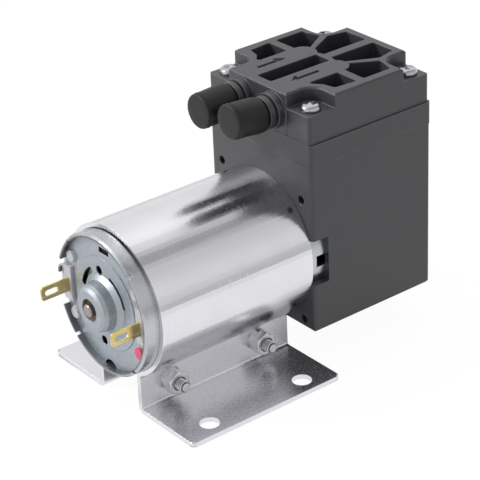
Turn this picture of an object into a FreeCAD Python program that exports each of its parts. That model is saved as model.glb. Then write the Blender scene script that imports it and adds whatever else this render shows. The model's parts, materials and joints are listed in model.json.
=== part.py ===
# Diaphragm vacuum pump driven by a brushed can motor.
# Millimetres, +Z up. The origin lies on the plane that the feet stand on, under the middle
# of the clamp bracket. The motor axis runs along Y, with the terminals towards -Y and the
# pump head at +Y.
import FreeCAD, Part
import math
import os
import Sketcher

Vector = FreeCAD.Vector
doc = FreeCAD.newDocument("diaphragm_vacuum_pump")
dims = doc.addObject("Spreadsheet::Sheet", "dims")
nodes = {}


class Size:
    """A length with its value and the spreadsheet formula that gives it."""

    def __init__(self, text, value):
        self.text = text
        self.value = value

    def join(self, sign, other, flip=False):
        other = other if isinstance(other, Size) else Size(repr(float(other)), float(other))
        first, second = (other, self) if flip else (self, other)
        result = {"+": first.value + second.value, "-": first.value - second.value,
                  "*": first.value * second.value, "/": first.value / (second.value or 1.0)}[sign]
        return Size("(%s %s %s)" % (first.text, sign, second.text), result)

    def __add__(self, other):
        return self.join("+", other)

    def __radd__(self, other):
        return self.join("+", other, True)

    def __sub__(self, other):
        return self.join("-", other)

    def __rsub__(self, other):
        return self.join("-", other, True)

    def __mul__(self, other):
        return self.join("*", other)

    def __rmul__(self, other):
        return self.join("*", other, True)

    def __truediv__(self, other):
        return self.join("/", other)

    def __neg__(self):
        return self.join("-", 0.0, True)


def size(alias, value, meaning):
    """Write one driving dimension in the sheet and hand it back."""
    row = size.row = getattr(size, "row", 0) + 1
    dims.set("A%d" % row, meaning)
    dims.set("B%d" % row, str(value))
    dims.setAlias("B%d" % row, alias)
    return Size("dims." + alias, float(value))


def as_size(value):
    return value if isinstance(value, Size) else Size(repr(float(value)), float(value))


def num(value):
    return as_size(value).value


def bind(thing, prop, value):
    thing.setExpression(prop, as_size(value).text)


# Driving dimensions: the motor
axis_height = size("axis_height", 27.3, "motor axis above the foot plane")
can_radius = size("can_radius", 17.75, "motor can, outside")
can_wall = size("can_wall", 1.0, "motor can sheet")
can_back = size("can_back", -26.15, "rim of the can")
can_front = size("can_front", 29.35, "front face of the can")
plate_recess = size("plate_recess", 1.3, "end plate below the rim")
plate_gauge = size("plate_gauge", 1.6, "end plate thickness")
shaft_radius = size("shaft_radius", 1.5875, "motor shaft")
shaft_play = size("shaft_play", 0.03, "running clearance of the shaft in its bushes")
shaft_back = size("shaft_back", -30.0, "rear end of the shaft")
shaft_front = size("shaft_front", 37.9, "front end of the shaft")
bush_radius = size("bush_radius", 3.95, "bronze bush, outside")
boss_radius = size("boss_radius", 6.2, "bearing boss on the end plate")
pilot_radius = size("pilot_radius", 6.5, "pilot boss on the front of the can")
pilot_length = size("pilot_length", 3.0, "length of the pilot boss")
core_radius = size("core_radius", 13.6, "armature stack")
core_back = size("core_back", -12.0, "rear face of the armature stack")
core_front = size("core_front", 16.0, "front face of the armature stack")
pole_count = 5
air_gap = size("air_gap", 0.5, "armature to magnets")
commutator_radius = size("commutator_radius", 4.2, "commutator")
tab_offset = size("tab_offset", 14.2, "terminals from the axis")
tab_gauge = size("tab_gauge", 0.5, "terminal thickness")
tab_width = size("tab_width", 3.5, "terminal width")
tab_drop = size("tab_drop", 0.35, "middle of the terminals below the axis")
tab_end = size("tab_end", -33.2, "tips of the terminals")
tab_eye = size("tab_eye", 0.75, "round ends of the solder hole")
tab_eye_run = size("tab_eye_run", 2.2, "between those ends")
motor_screw_offset = size("motor_screw_offset", 12.5, "motor fixing screws from the axis")

# Driving dimensions: the clamp bracket
gauge = size("gauge", 1.2, "bracket sheet")
clamp_play = size("clamp_play", 0.05, "bracket sleeve around the can")
sleeve_half = size("sleeve_half", 22.25, "half the length of the bracket")
flange_gap = size("flange_gap", 14.2, "between the two flanges")
foot_span = size("foot_span", 56.0, "width over the feet")
foot_bend = size("foot_bend", 2.0, "inside radius where flange turns into foot")
hole_span_x = size("hole_span_x", 47.0, "foot holes across the motor")
hole_span_y = size("hole_span_y", 28.0, "foot holes along the motor")
foot_hole = size("foot_hole", 2.45, "foot hole radius")
bolt_height = size("bolt_height", 6.0, "clamp bolts above the foot plane")
bolt_place = size("bolt_place", 13.2, "clamp bolts from the middle of the bracket")
bolt_radius = size("bolt_radius", 1.5, "clamp bolt thread")

# Driving dimensions: the pump head
head_half = size("head_half", 18.6, "half the width of the top cover")
head_front = size("head_front", 22.3, "front face of the head")
head_back = size("head_back", 59.8, "back face of the top cover")
case_swell = size("case_swell", 0.3, "crankcase beyond the cover at its sides")
plate_lip = size("plate_lip", 0.1, "valve plate beyond the crankcase")
head_floor = size("head_floor", 8.8, "underside of the crankcase")
case_top = size("case_top", 52.7, "joint between crankcase and valve plate")
plate_top = size("plate_top", 58.5, "joint between valve plate and cover")
cover_top = size("cover_top", 69.2, "top of the cover")
head_round = size("head_round", 0.8, "upright edges of the head")
screw_inset = size("screw_inset", 3.6, "cover screws from the sides of the head")
screw_radius = size("screw_radius", 1.25, "cover screw thread")
ledge = size("ledge", 65.6, "ledges under the cover screws")
wall_depth = size("wall_depth", 3.0, "partition between motor and crank room")
port_offset = size("port_offset", 5.8, "ports from the middle")
port_height = size("port_height", 63.8, "port axis above the foot plane")
spigot_radius = size("spigot_radius", 3.0, "hose spigot, outside")
spigot_bore = size("spigot_bore", 1.8, "hose spigot, inside")
spigot_tip = size("spigot_tip", 11.4, "end of the hose spigots")
cap_radius = size("cap_radius", 4.3, "rubber cap, outside")
cap_play = size("cap_play", 0.04, "cap bore around the spigot")
back_cover_gauge = size("back_cover_gauge", 2.4, "rear cover thickness")
back_screw_x = size("back_screw_x", 15.0, "rear cover screws from the middle")
back_screw_z = size("back_screw_z", 16.1, "rear cover screws from the axis")

# Driving dimensions: the crank drive
throw = size("throw", 1.5, "offset of the crank pin")
crank_place = size("crank_place", 41.0, "middle of the crank bearing along the shaft")
pin_radius = size("pin_radius", 3.0, "crank pin")
bearing_outer = size("bearing_outer", 6.5, "crank bearing, outside")
bearing_half = size("bearing_half", 2.5, "half the width of the crank bearing")
rod_ring = size("rod_ring", 8.6, "big end of the rod")
rod_head = size("rod_head", 8.0, "head of the rod under the diaphragm")
seat_radius = size("seat_radius", 15.6, "diaphragm rim")
flex_radius = size("flex_radius", 12.6, "working radius of the diaphragm")
rubber = size("rubber", 1.2, "diaphragm thickness")
clamp_gauge = size("clamp_gauge", 1.2, "clamp plate above the diaphragm")
chamber_roof = size("chamber_roof", 56.6, "roof of the pump chamber")
valve_place = size("valve_place", 38.5, "valve centres along the motor")
doc.recompute()

QUARTER = {"X": FreeCAD.Rotation(Vector(0, 1, 0), 90), "Y": FreeCAD.Rotation(Vector(1, 0, 0), -90),
           "Z": FreeCAD.Rotation()}


# Plain solids between named levels
def place(thing, x, y, z):
    for letter, value in zip("xyz", (x, y, z)):
        bind(thing, "Placement.Base." + letter, value)
    return thing


def cylinder(axis, radius, low, high, across, deep):
    """A round bar along an axis; across and deep are its other two coordinates in order."""
    bar = doc.addObject("Part::Cylinder", "bar")
    bar.Placement.Rotation = QUARTER[axis]
    bind(bar, "Radius", radius)
    bind(bar, "Height", high - low)
    spot = {"X": (low, across, deep), "Y": (across, low, deep), "Z": (across, deep, low)}[axis]
    return place(bar, *spot)


def cone(axis, radius_low, radius_high, low, high, across, deep):
    taper = doc.addObject("Part::Cone", "taper")
    taper.Placement.Rotation = QUARTER[axis]
    bind(taper, "Radius1", radius_low)
    bind(taper, "Radius2", radius_high)
    bind(taper, "Height", high - low)
    spot = {"X": (low, across, deep), "Y": (across, low, deep), "Z": (across, deep, low)}[axis]
    return place(taper, *spot)


def box(low, high):
    block = doc.addObject("Part::Box", "block")
    for side, a, b in zip(("Length", "Width", "Height"), low, high):
        bind(block, side, b - a)
    return place(block, *low)


def hexagon(axis, across_flats, low, high, across, deep):
    bar = doc.addObject("Part::Prism", "hexagon")
    bar.Polygon = 6
    bar.Placement.Rotation = QUARTER[axis]
    bind(bar, "Circumradius", across_flats / math.sqrt(3.0))
    bind(bar, "Height", high - low)
    spot = {"X": (low, across, deep), "Y": (across, low, deep), "Z": (across, deep, low)}[axis]
    return place(bar, *spot)


def fuse(*parts):
    union = doc.addObject("Part::MultiFuse", "union")
    union.Shapes = list(parts)
    union.Refine = True
    return union


def group(*parts):
    together = doc.addObject("Part::Compound", "together")
    together.Links = list(parts)
    return together


def cut(base, *tools):
    difference = doc.addObject("Part::Cut", "difference")
    difference.Base = base
    difference.Tool = tools[0] if len(tools) == 1 else group(*tools)
    return difference


def common(first, second):
    overlap = doc.addObject("Part::MultiCommon", "overlap")
    overlap.Shapes = [first, second]
    return overlap


def picked(shape, pick):
    """Edges for which pick(middle, direction, length) is true, by their index."""
    found = []
    for index, edge in enumerate(shape.Edges, 1):
        if not edge.Length:
            continue
        middle = edge.CenterOfMass
        run = edge.lastVertex().Point - edge.firstVertex().Point
        if pick(middle, run, edge):
            found.append(index)
    return found


def rounded(base, radius, pick):
    doc.recompute([base])
    soft = doc.addObject("Part::Fillet", "rounding")
    soft.Base = base
    edges = picked(base.Shape, pick)
    assert edges, "no edge found to round"
    soft.Edges = [(index, num(radius), num(radius)) for index in edges]
    return soft


def node(name, thing):
    """Name a finished piece; its label is the name of its file."""
    thing.Label = name
    nodes[name] = thing
    return thing


# Sketched solids
class Sketched:
    """A body built from sketches that are padded, cut or revolved between named levels."""

    def __init__(self, name, x=0.0, y=0.0, z=0.0):
        self.body = doc.addObject("PartDesign::Body", name)
        place(self.body, x, y, z)
        node(name, self.body)

    def plane(self, role):
        return [item for item in self.body.Origin.OriginFeatures if item.Role == role][0]

    def sketch(self, role, offset):
        drawing = self.body.newObject("Sketcher::SketchObject", "sketch")
        drawing.AttachmentSupport = [(self.plane(role), "")]
        drawing.MapMode = "FlatFace"
        bind(drawing, "AttachmentOffset.Base.z", offset)
        return drawing

    def finish(self, feature):
        self.body.Tip = feature
        doc.recompute([self.body])
        return feature

    def pad(self, role, low, high, *shapes):
        """The front plane's normal points along -Y, so its levels swap ends."""
        low, high = as_size(low), as_size(high)
        drawing = self.sketch(role, -high if role == "XZ_Plane" else low)
        for shape in shapes:
            shape(drawing)
        feature = self.body.newObject("PartDesign::Pad", "pad")
        feature.Profile = drawing
        bind(feature, "Length", high - low)
        return self.finish(feature)

    def pocket(self, role, low, high, *shapes):
        low, high = as_size(low), as_size(high)
        before = self.body.Shape.Volume
        drawing = self.sketch(role, -low if role == "XZ_Plane" else high)
        for shape in shapes:
            shape(drawing)
        feature = self.body.newObject("PartDesign::Pocket", "pocket")
        feature.Profile = drawing
        bind(feature, "Length", high - low)
        self.finish(feature)
        assert self.body.Shape.Volume < before - 1e-6, "a pocket of %s cuts nothing" % self.body.Label
        return feature

    def revolve(self, role, axis, *shapes):
        drawing = self.sketch(role, 0.0)
        for shape in shapes:
            shape(drawing)
        feature = self.body.newObject("PartDesign::Revolution", "turning")
        feature.Profile = drawing
        feature.ReferenceAxis = (drawing, [axis])
        feature.Angle = 360.0
        return self.finish(feature)

    def soften(self, radius, pick, kind="PartDesign::Fillet"):
        base = self.body.Tip
        names = ["Edge%d" % index for index in picked(base.Shape, pick)]
        assert names, "no edge of %s found to round" % self.body.Label
        feature = self.body.newObject(kind, "softening")
        feature.Base = (base, names)
        bind(feature, "Radius" if kind.endswith("Fillet") else "Size", radius)
        return self.finish(feature)

    def polar(self, feature, count):
        pattern = self.body.newObject("PartDesign::PolarPattern", "pattern")
        pattern.Originals = [feature]
        pattern.Axis = (self.plane("Y_Axis"), [""])
        pattern.Angle = 360.0
        pattern.Occurrences = count
        return self.finish(pattern)


def outline(*corners):
    """A closed run of straight lines whose corners are tied to the sheet."""
    def draw(drawing):
        first = drawing.GeometryCount
        count = len(corners)
        spots = [Vector(num(x), num(y), 0) for x, y in corners]
        for index in range(count):
            drawing.addGeometry(Part.LineSegment(spots[index], spots[(index + 1) % count]))
        for index in range(count):
            after = first + (index + 1) % count
            drawing.addConstraint(Sketcher.Constraint("Coincident", first + index, 2, after, 1))
        for index, corner in enumerate(corners):
            for kind, value in zip(("DistanceX", "DistanceY"), corner):
                rule = Sketcher.Constraint(kind, -1, 1, first + index, 1, num(value))
                number = drawing.addConstraint(rule)
                bind(drawing, "Constraints[%d]" % number, value)
    return draw


def rectangle(low_x, low_y, high_x, high_y):
    return outline((low_x, low_y), (high_x, low_y), (high_x, high_y), (low_x, high_y))


def circle(x, y, radius):
    def draw(drawing):
        disc = Part.Circle(Vector(num(x), num(y), 0), Vector(0, 0, 1), num(radius))
        index = drawing.addGeometry(disc)
        rules = [(Sketcher.Constraint("Radius", index, num(radius)), radius),
                 (Sketcher.Constraint("DistanceX", -1, 1, index, 3, num(x)), x),
                 (Sketcher.Constraint("DistanceY", -1, 1, index, 3, num(y)), y)]
        for rule, value in rules:
            bind(drawing, "Constraints[%d]" % drawing.addConstraint(rule), value)
    return draw


def along_y(middle, run, edge):
    return abs(run.x) + abs(run.z) < 1e-4 < abs(run.y)


def upright(middle, run, edge):
    return abs(run.x) + abs(run.y) < 1e-4 < abs(run.z)


MIRROR = (-1, 1)
FOUR = [(sx, sy) for sx in MIRROR for sy in MIRROR]

# Clamp bracket: one sheet that wraps the can, drops into two flanges and turns into two feet
sleeve_inner = can_radius + clamp_play
sleeve_outer = sleeve_inner + gauge
flange_inner = flange_gap / 2
flange_outer = flange_inner + gauge
bracket = Sketched("clamp_bracket")
bracket.pad("XZ_Plane", -sleeve_half, sleeve_half, circle(0, axis_height, sleeve_outer))
ring_dip = axis_height - math.sqrt(num(sleeve_outer) ** 2 - num(flange_outer) ** 2) + 0.6
for side in MIRROR:
    bracket.pad("XZ_Plane", -sleeve_half, sleeve_half, outline(
        (flange_inner * side, 0.0), (foot_span / 2 * side, 0.0), (foot_span / 2 * side, gauge),
        (flange_outer * side, gauge), (flange_outer * side, ring_dip), (flange_inner * side, ring_dip)))
bracket.pocket("XZ_Plane", -sleeve_half, sleeve_half, circle(0, axis_height, sleeve_inner))
bracket.pocket("XZ_Plane", -sleeve_half, sleeve_half,
               rectangle(-flange_inner, -1.0, flange_inner, axis_height - sleeve_inner + 3.2))


def bend_at(x, z, reach=0.9):
    def pick(middle, run, edge):
        near = math.hypot(abs(middle.x) - num(x), middle.z - num(z)) < reach
        return near and along_y(middle, run, edge)
    return pick


crease_z = num(axis_height) - math.sqrt(num(sleeve_outer) ** 2 - num(flange_outer) ** 2)
mouth_z = num(axis_height) - math.sqrt(num(sleeve_inner) ** 2 - num(flange_inner) ** 2)
bracket.soften(foot_bend, bend_at(flange_outer, gauge))
bracket.soften(foot_bend + gauge, bend_at(flange_inner, 0.0))
bracket.soften(1.0, bend_at(flange_outer, crease_z))
bracket.soften(1.9, bend_at(flange_inner, mouth_z))
bracket.pocket("XY_Plane", -1.0, gauge + 1.0, *[
    circle(hole_span_x / 2 * sx, hole_span_y / 2 * sy, foot_hole) for sx, sy in FOUR])
bracket.pocket("YZ_Plane", -foot_span / 2, foot_span / 2, *[
    circle(bolt_place * sy, bolt_height, bolt_radius + 0.1) for sy in MIRROR])
bracket.soften(1.2, lambda middle, run, edge: upright(middle, run, edge)
               and abs(abs(middle.x) - num(foot_span) / 2) < 0.01)

# Clamp bolts, spring washers and nuts; the nuts are on the +X side
washer_gauge = size("washer_gauge", 0.8, "spring washer")
nut_height = size("nut_height", 2.4, "clamp nut")
nut_flats = size("nut_flats", 5.5, "clamp nut across flats")
bolt_overhang = size("bolt_overhang", 1.3, "thread standing out of the nut")
nut_face = flange_outer + washer_gauge
bolt_end = nut_face + nut_height + bolt_overhang


def clamp_bolt(y):
    shank = cylinder("X", bolt_radius, -flange_outer - 0.5, bolt_end, y, bolt_height)
    head = hexagon("X", nut_flats, -flange_outer - 2.0, -flange_outer, y, bolt_height)
    return fuse(shank, head)


def clamp_washer(y):
    disc = cylinder("X", bolt_radius + 1.2, flange_outer, nut_face, y, bolt_height)
    return cut(disc, cylinder("X", bolt_radius, flange_outer - 1, nut_face + 1, y, bolt_height))


def clamp_nut(y):
    blank = hexagon("X", nut_flats, nut_face, nut_face + nut_height, y, bolt_height)
    bevel = cone("X", nut_flats * 0.72, nut_flats * 0.5, nut_face, nut_face + nut_height, y, bolt_height)
    hole = cylinder("X", bolt_radius, nut_face - 1, nut_face + nut_height + 1, y, bolt_height)
    return cut(common(blank, bevel), hole)


node("clamp_bolts", group(*[clamp_bolt(bolt_place * side) for side in MIRROR]))
node("clamp_washers", group(*[clamp_washer(bolt_place * side) for side in MIRROR]))
node("clamp_nuts", group(*[clamp_nut(bolt_place * side) for side in MIRROR]))

# Motor can: a deep drawn cup with a pilot boss, castellated at its open end
can_inner = can_radius - can_wall
pilot_end = can_front + pilot_length
can = Sketched("motor_can", z=axis_height)
can.revolve("YZ_Plane", "H_Axis", outline(
    (can_back, can_inner), (can_back, can_radius - 0.4), (can_back + 0.5, can_radius),
    (can_front - 1.2, can_radius),
    (can_front, can_radius - 1.2), (can_front, pilot_radius), (pilot_end, pilot_radius),
    (pilot_end, shaft_radius + 0.8), (pilot_end - 0.6, shaft_radius + 0.8),
    (pilot_end - 0.6, bush_radius), (can_front - can_wall, bush_radius), (can_front - can_wall, can_inner)))


def rim_gap(start, end, depth):
    """A gap in the rim between two angles, cut from the inside of the wall outwards."""
    reach = num(can_radius) + 3.0
    low = num(can_inner) - 0.6
    turn = [math.radians(start), math.radians(end)]
    corners = [(low * math.cos(a), low * math.sin(a)) for a in turn]
    corners += [(reach * math.cos(a), reach * math.sin(a)) for a in reversed(turn)]
    can.pocket("XZ_Plane", can_back - 1.0, can_back + depth, outline(*corners))


gap_depth = size("gap_depth", 2.0, "gaps in the rim of the can")
for start, width in ((159.0, 8.5), (172.5, 29.0)):
    rim_gap(start, start + width, gap_depth)
for start in (44.0, 133.0, 226.0, 311.0):
    rim_gap(start, start + 3.0, gap_depth * 0.6)
vent = size("vent", 2.9, "square vent in the can")
vent_back = size("vent_back", 24.4, "rear edge of the vent")
vent_low = size("vent_low", -1.6, "lower edge of the vent from the axis")
can.pocket("YZ_Plane", -can_radius - 1, can_radius + 1,
           rectangle(vent_back, vent_low, vent_back + vent, vent_low + vent))
can.pocket("XZ_Plane", can_front - can_wall - 0.5, can_front + 0.5, *[
    circle(motor_screw_offset * side, 0.0, bolt_radius) for side in MIRROR])

# Zinc end plate with its bearing boss
plate_face = can_back + plate_recess
plate_inner = plate_face + plate_gauge
boss_end = size("boss_end", -29.3, "front of the bearing boss")
boss_mouth = size("boss_mouth", 2.8, "opening of the bearing boss")
boss_nose = size("boss_nose", 4.6, "flat front of the boss")
boss_lip = size("boss_lip", 0.9, "sheet in front of the rear bush")
step_radius = size("step_radius", 11.7, "shallow step on the end plate")
step_depth = size("step_depth", 0.25, "depth of that step")
end_plate = Sketched("motor_end_plate", z=axis_height)
end_plate.revolve("YZ_Plane", "H_Axis", outline(
    (plate_inner, bush_radius), (plate_inner, can_inner), (plate_face + step_depth, can_inner),
    (plate_face + step_depth, step_radius), (plate_face, step_radius), (plate_face, boss_radius + 1.2),
    (plate_face - 1.0, boss_radius), (boss_end + 1.4, boss_radius - 0.3), (boss_end + 0.5, boss_radius - 0.8),
    (boss_end, boss_nose), (boss_end, boss_mouth), (boss_end + boss_lip, boss_mouth),
    (boss_end + boss_lip, bush_radius)))


def through_plate(*shapes):
    end_plate.pocket("XZ_Plane", plate_face - 1, plate_inner + 1, *shapes)


def arc_slot(radius, width, start, end, steps=5):
    """A curved slot through the plate about the axis, between two angles, with round ends."""
    turn = [math.radians(start + (end - start) * k / steps) for k in range(steps + 1)]
    outer = [((radius + width / 2) * math.cos(a), (radius + width / 2) * math.sin(a)) for a in turn]
    inner = [((radius - width / 2) * math.cos(a), (radius - width / 2) * math.sin(a)) for a in turn]
    through_plate(outline(*(outer + inner[::-1])))
    through_plate(*[circle(radius * math.cos(a), radius * math.sin(a), width / 2)
                    for a in (turn[0], turn[-1])])


ear_width = size("ear_width", 9.4, "openings for the brush holder's ears")
ear_inner = size("ear_inner", 12.9, "inner side of those openings")
ear_lift = size("ear_lift", 0.55, "ears standing out of the plate")
rivet_x = size("rivet_x", 12.8, "rivets across the plate, from the axis")
rivet_z = size("rivet_z", 7.6, "rivets above and below the axis")
rivet_radius = size("rivet_radius", 0.8, "rivet shank")
rivet_head = size("rivet_head", 1.7, "rivet head")
arc_slot(8.6, 1.6, 127, 163)
arc_slot(7.9, 0.9, 13, 70)
through_plate(circle(-1.4, 8.3, 1.15), circle(-1.4, -10.3, 1.15))
through_plate(circle(0.2, -17.7, 2.5))
through_plate(*[rectangle(ear_inner * min(side, side * 1.5), -ear_width / 2,
                          ear_inner * max(side, side * 1.5), ear_width / 2) for side in MIRROR])
end_plate.pocket("XZ_Plane", plate_face - 1, plate_face + 0.6, rectangle(-1.2, 13.2, 2.6, 14.6))
rivet_spots = [(rivet_x * sx, rivet_z * sz) for sx, sz in FOUR]
through_plate(*[circle(x, z, rivet_radius) for x, z in rivet_spots])

# Brush holder: a plastic ring behind the end plate, with two ears and four rivets through it
holder_depth = size("holder_depth", 2.0, "brush holder ring")
holder_inner = size("holder_inner", 8.6, "opening of the brush holder")
holder_end = plate_inner + holder_depth
ring = cylinder("Y", can_inner, plate_inner, holder_end, 0, axis_height)
hole = cylinder("Y", holder_inner, plate_inner - 1, holder_end + 1, 0, axis_height)
ear_half = ear_width / 2 - 0.1
ears = [box((low, plate_face - ear_lift, axis_height - ear_half), (high, holder_end, axis_height + ear_half))
        for low, high in ((-can_inner, -ear_inner), (ear_inner, can_inner))]
inside = cylinder("Y", can_inner, plate_face - 3, holder_end, 0, axis_height)
rivets = [fuse(cylinder("Y", rivet_radius, plate_face, holder_end, x, axis_height + z),
               cone("Y", rivet_head - 0.3, rivet_head, plate_face - 0.45, plate_face + step_depth,
                    x, axis_height + z))
          for x, z in rivet_spots]
tab_height = axis_height - tab_drop
tab_slots = [box((tab_offset * side - tab_gauge / 2, plate_face - 3, tab_height - tab_width / 2),
                 (tab_offset * side + tab_gauge / 2, holder_end + 1, tab_height + tab_width / 2))
             for side in MIRROR]
holder = cut(fuse(cut(ring, hole), *[common(ear, inside) for ear in ears]), *tab_slots)
node("brush_holder", fuse(holder, *rivets))

# Brass terminals, each with an oval solder hole and chamfered tip
eye_back = tab_end + 1.7
eye_front = eye_back + tab_eye_run


def terminal(side):
    middle = tab_offset * side
    blade = box((middle - tab_gauge / 2, tab_end, tab_height - tab_width / 2),
                (middle + tab_gauge / 2, holder_end, tab_height + tab_width / 2))
    blade = rounded(blade, 0.7, lambda mid, run, edge: abs(run.y) + abs(run.z) < 1e-4
                    and abs(mid.y - num(tab_end)) < 0.01)
    eye = fuse(cylinder("X", tab_eye, middle - 1, middle + 1, eye_back, tab_height),
               cylinder("X", tab_eye, middle - 1, middle + 1, eye_front, tab_height),
               box((middle - 1, eye_back, tab_height - tab_eye), (middle + 1, eye_front, tab_height + tab_eye)))
    return cut(blade, eye)


node("terminals", group(*[terminal(side) for side in MIRROR]))

# Brushes and the spring arms that press them on the commutator
brush_length = size("brush_length", 3.8, "carbon brush, radial length")
brush_middle = size("brush_middle", -17.6, "brushes along the shaft")
brush_half = size("brush_half", 1.6, "half the width of a brush")
brush_rise = size("brush_rise", 1.1, "half the height of a brush")
arm_rise = size("arm_rise", 1.2, "half the height of a brush arm")
arm_gauge = size("arm_gauge", 0.4, "brush arm sheet")
brush_in = commutator_radius + 0.04
brush_out = brush_in + brush_length


def brush(side):
    low, high = (brush_in, brush_out) if side > 0 else (-brush_out, -brush_in)
    return box((low, brush_middle - brush_half, axis_height - brush_rise),
               (high, brush_middle + brush_half, axis_height + brush_rise))


def brush_arm(side):
    back, front = holder_end, brush_middle + brush_half
    root_out, leaf_out = tab_offset + tab_gauge / 2, brush_out + arm_gauge
    bridge_low, bridge_high = (brush_out, root_out) if side > 0 else (-root_out, -brush_out)
    leaf_low, leaf_high = (brush_out, leaf_out) if side > 0 else (-leaf_out, -brush_out)
    low, high = axis_height - arm_rise, axis_height + arm_rise
    return fuse(box((bridge_low, back, low), (bridge_high, back + arm_gauge, high)),
                box((leaf_low, back, low), (leaf_high, front, high)))


node("carbon_brushes", group(*[brush(side) for side in MIRROR]))
node("brush_arms", group(*[brush_arm(side) for side in MIRROR]))

# Field magnets above and below the armature, and the two springs that spread them
magnet_inner = core_radius + air_gap


def shell(inner, outer, back, front, keep):
    """The part of a tube about the axis that lies within a block."""
    tube = cut(cylinder("Y", outer, back, front, 0, axis_height),
               cylinder("Y", inner, back - 1, front + 1, 0, axis_height))
    return common(tube, keep)


def magnet(side):
    low, high = (5.5, 20.0) if side > 0 else (-20.0, -5.5)
    block = box((-20.0, -15.0, axis_height + low), (20.0, 19.0, axis_height + high))
    return shell(magnet_inner, can_inner, -14.0, 18.0, block)


def magnet_spring(side):
    low, high = (10.0, 20.0) if side > 0 else (-20.0, -10.0)
    block = box((low, -15.0, axis_height - 5.4), (high, 19.0, axis_height + 5.4))
    return shell(can_inner - 0.7, can_inner, -10.0, 14.0, block)


node("magnets", group(*[magnet(side) for side in MIRROR]))
node("magnet_springs", group(*[magnet_spring(side) for side in MIRROR]))

# Armature: slotted stack, copper in its slots with end turns, and a five bar commutator
slot_mouth = size("slot_mouth", 0.9, "half the mouth of an armature slot")
slot_radius = size("slot_radius", 3.4, "round bottom of an armature slot")
slot_place = size("slot_place", 8.7, "centre of that round from the axis")
core = Sketched("armature_core", z=axis_height)
core.pad("XZ_Plane", core_back, core_front, circle(0, 0, core_radius), circle(0, 0, shaft_radius))
mouth = core.pocket("XZ_Plane", core_back - 1, core_front + 1,
                    rectangle(-slot_mouth, slot_place, slot_mouth, core_radius + 1))
core.polar(mouth, pole_count)
round_slot = core.pocket("XZ_Plane", core_back - 1, core_front + 1, circle(0, slot_place, slot_radius))
core.polar(round_slot, pole_count)

winding = Sketched("windings", z=axis_height)
for face, tip in ((core_back, core_back - 2.2), (core_front, core_front + 2.4)):
    winding.revolve("YZ_Plane", "H_Axis", outline((face, 4.6), (face, 11.8), (tip, 10.6), (tip, 5.4)))
bundle = winding.pad("XZ_Plane", core_back, core_front, circle(0, slot_place, slot_radius - 0.15))
winding.polar(bundle, pole_count)

commutator = Sketched("commutator", z=axis_height)
commutator.revolve("YZ_Plane", "H_Axis", outline(
    (-20.9, shaft_radius), (-20.9, commutator_radius), (-15.6, commutator_radius), (-15.6, 5.2),
    (-14.3, 5.2), (-14.3, shaft_radius)))
bar_gap = commutator.pocket("XZ_Plane", -22.0, -15.6, rectangle(-0.2, commutator_radius - 0.6, 0.2, 6.0))
commutator.polar(bar_gap, pole_count)

shaft = Sketched("motor_shaft", z=axis_height)
shaft.revolve("YZ_Plane", "H_Axis", outline(
    (shaft_back, 0.0), (shaft_back, shaft_radius - 0.3), (shaft_back + 0.3, shaft_radius),
    (shaft_front - 0.3, shaft_radius), (shaft_front, shaft_radius - 0.3), (shaft_front, 0.0)))
shaft.pocket("XZ_Plane", pilot_end + 0.7, shaft_front + 1, rectangle(-3.0, -3.0, 3.0, -shaft_radius + 0.3))


def bush(back, front):
    sleeve = cylinder("Y", bush_radius, back, front, 0, axis_height)
    return cut(sleeve, cylinder("Y", shaft_radius + shaft_play, back - 1, front + 1, 0, axis_height))


node("rear_bush", bush(boss_end + boss_lip, plate_inner))
node("front_bush", bush(can_front - can_wall, pilot_end - 0.6))


def pan_screw(axis, head_radius, head_height, thread_radius, seat, tip, across, deep):
    """A screw whose pan head stands on seat, with a thread that reaches to tip."""
    upwards = num(seat) > num(tip)
    sign = 1 if upwards else -1
    edge, crown = seat + head_height * 0.5 * sign, seat + head_height * sign
    wide, narrow = head_radius, head_radius * 0.6
    if upwards:
        head = [cylinder(axis, wide, seat, edge, across, deep),
                cone(axis, wide, narrow, edge, crown, across, deep)]
    else:
        head = [cylinder(axis, wide, edge, seat, across, deep),
                cone(axis, narrow, wide, crown, edge, across, deep)]
    ends = (tip, seat) if upwards else (seat, tip)
    return fuse(*head, cylinder(axis, thread_radius, *ends, across, deep))


wall_face = can_front + wall_depth
node("motor_screws", group(*[
    pan_screw("Y", as_size(2.7), 1.9, bolt_radius, wall_face, can_front - can_wall - 0.6,
              motor_screw_offset * side, axis_height) for side in MIRROR]))

lid_half = size("lid_half", 17.4, "half the width of the rear cover")
lid_low = size("lid_low", 9.5, "lower edge of the rear cover")
lid_high = size("lid_high", 45.4, "upper edge of the rear cover")
lid_play = size("lid_play", 0.1, "rear cover in its recess")

# Crankcase: the tall black body that takes the front of the motor and holds the crank
pocket_end = can_front
back_face = head_back + case_swell - back_cover_gauge
case = Sketched("crankcase")
case_half = head_half + case_swell
case_back = head_back + case_swell
case.pad("XY_Plane", head_floor, case_top, rectangle(-case_half, head_front, case_half, case_back))
case.soften(head_round, upright)
case.soften(0.6, lambda middle, run, edge: abs(middle.z - num(head_floor)) < 0.01, "PartDesign::Chamfer")
case.pocket("XZ_Plane", head_front - 1, pocket_end, circle(0, axis_height, can_radius + clamp_play))
case.pocket("XZ_Plane", pocket_end - 1, wall_face + 1, circle(0, axis_height, pilot_radius + 0.05), *[
    circle(motor_screw_offset * side, axis_height, bolt_radius + 0.05) for side in MIRROR])
case.pocket("XZ_Plane", wall_face, back_face + 1, circle(0, axis_height, 16.7))
case.pocket("XZ_Plane", back_face, case_back + 1, rectangle(
    -lid_half - lid_play, lid_low - lid_play, lid_half + lid_play, lid_high + lid_play))
case.pocket("XY_Plane", 38.0, 49.0, rectangle(-10.6, crank_place - 8.6, 10.6, crank_place + 8.6))
case.pocket("XY_Plane", 48.2, case_top + 1, circle(0, crank_place, flex_radius))
case.pocket("XY_Plane", case_top - rubber, case_top + 1, circle(0, crank_place, seat_radius))
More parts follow.
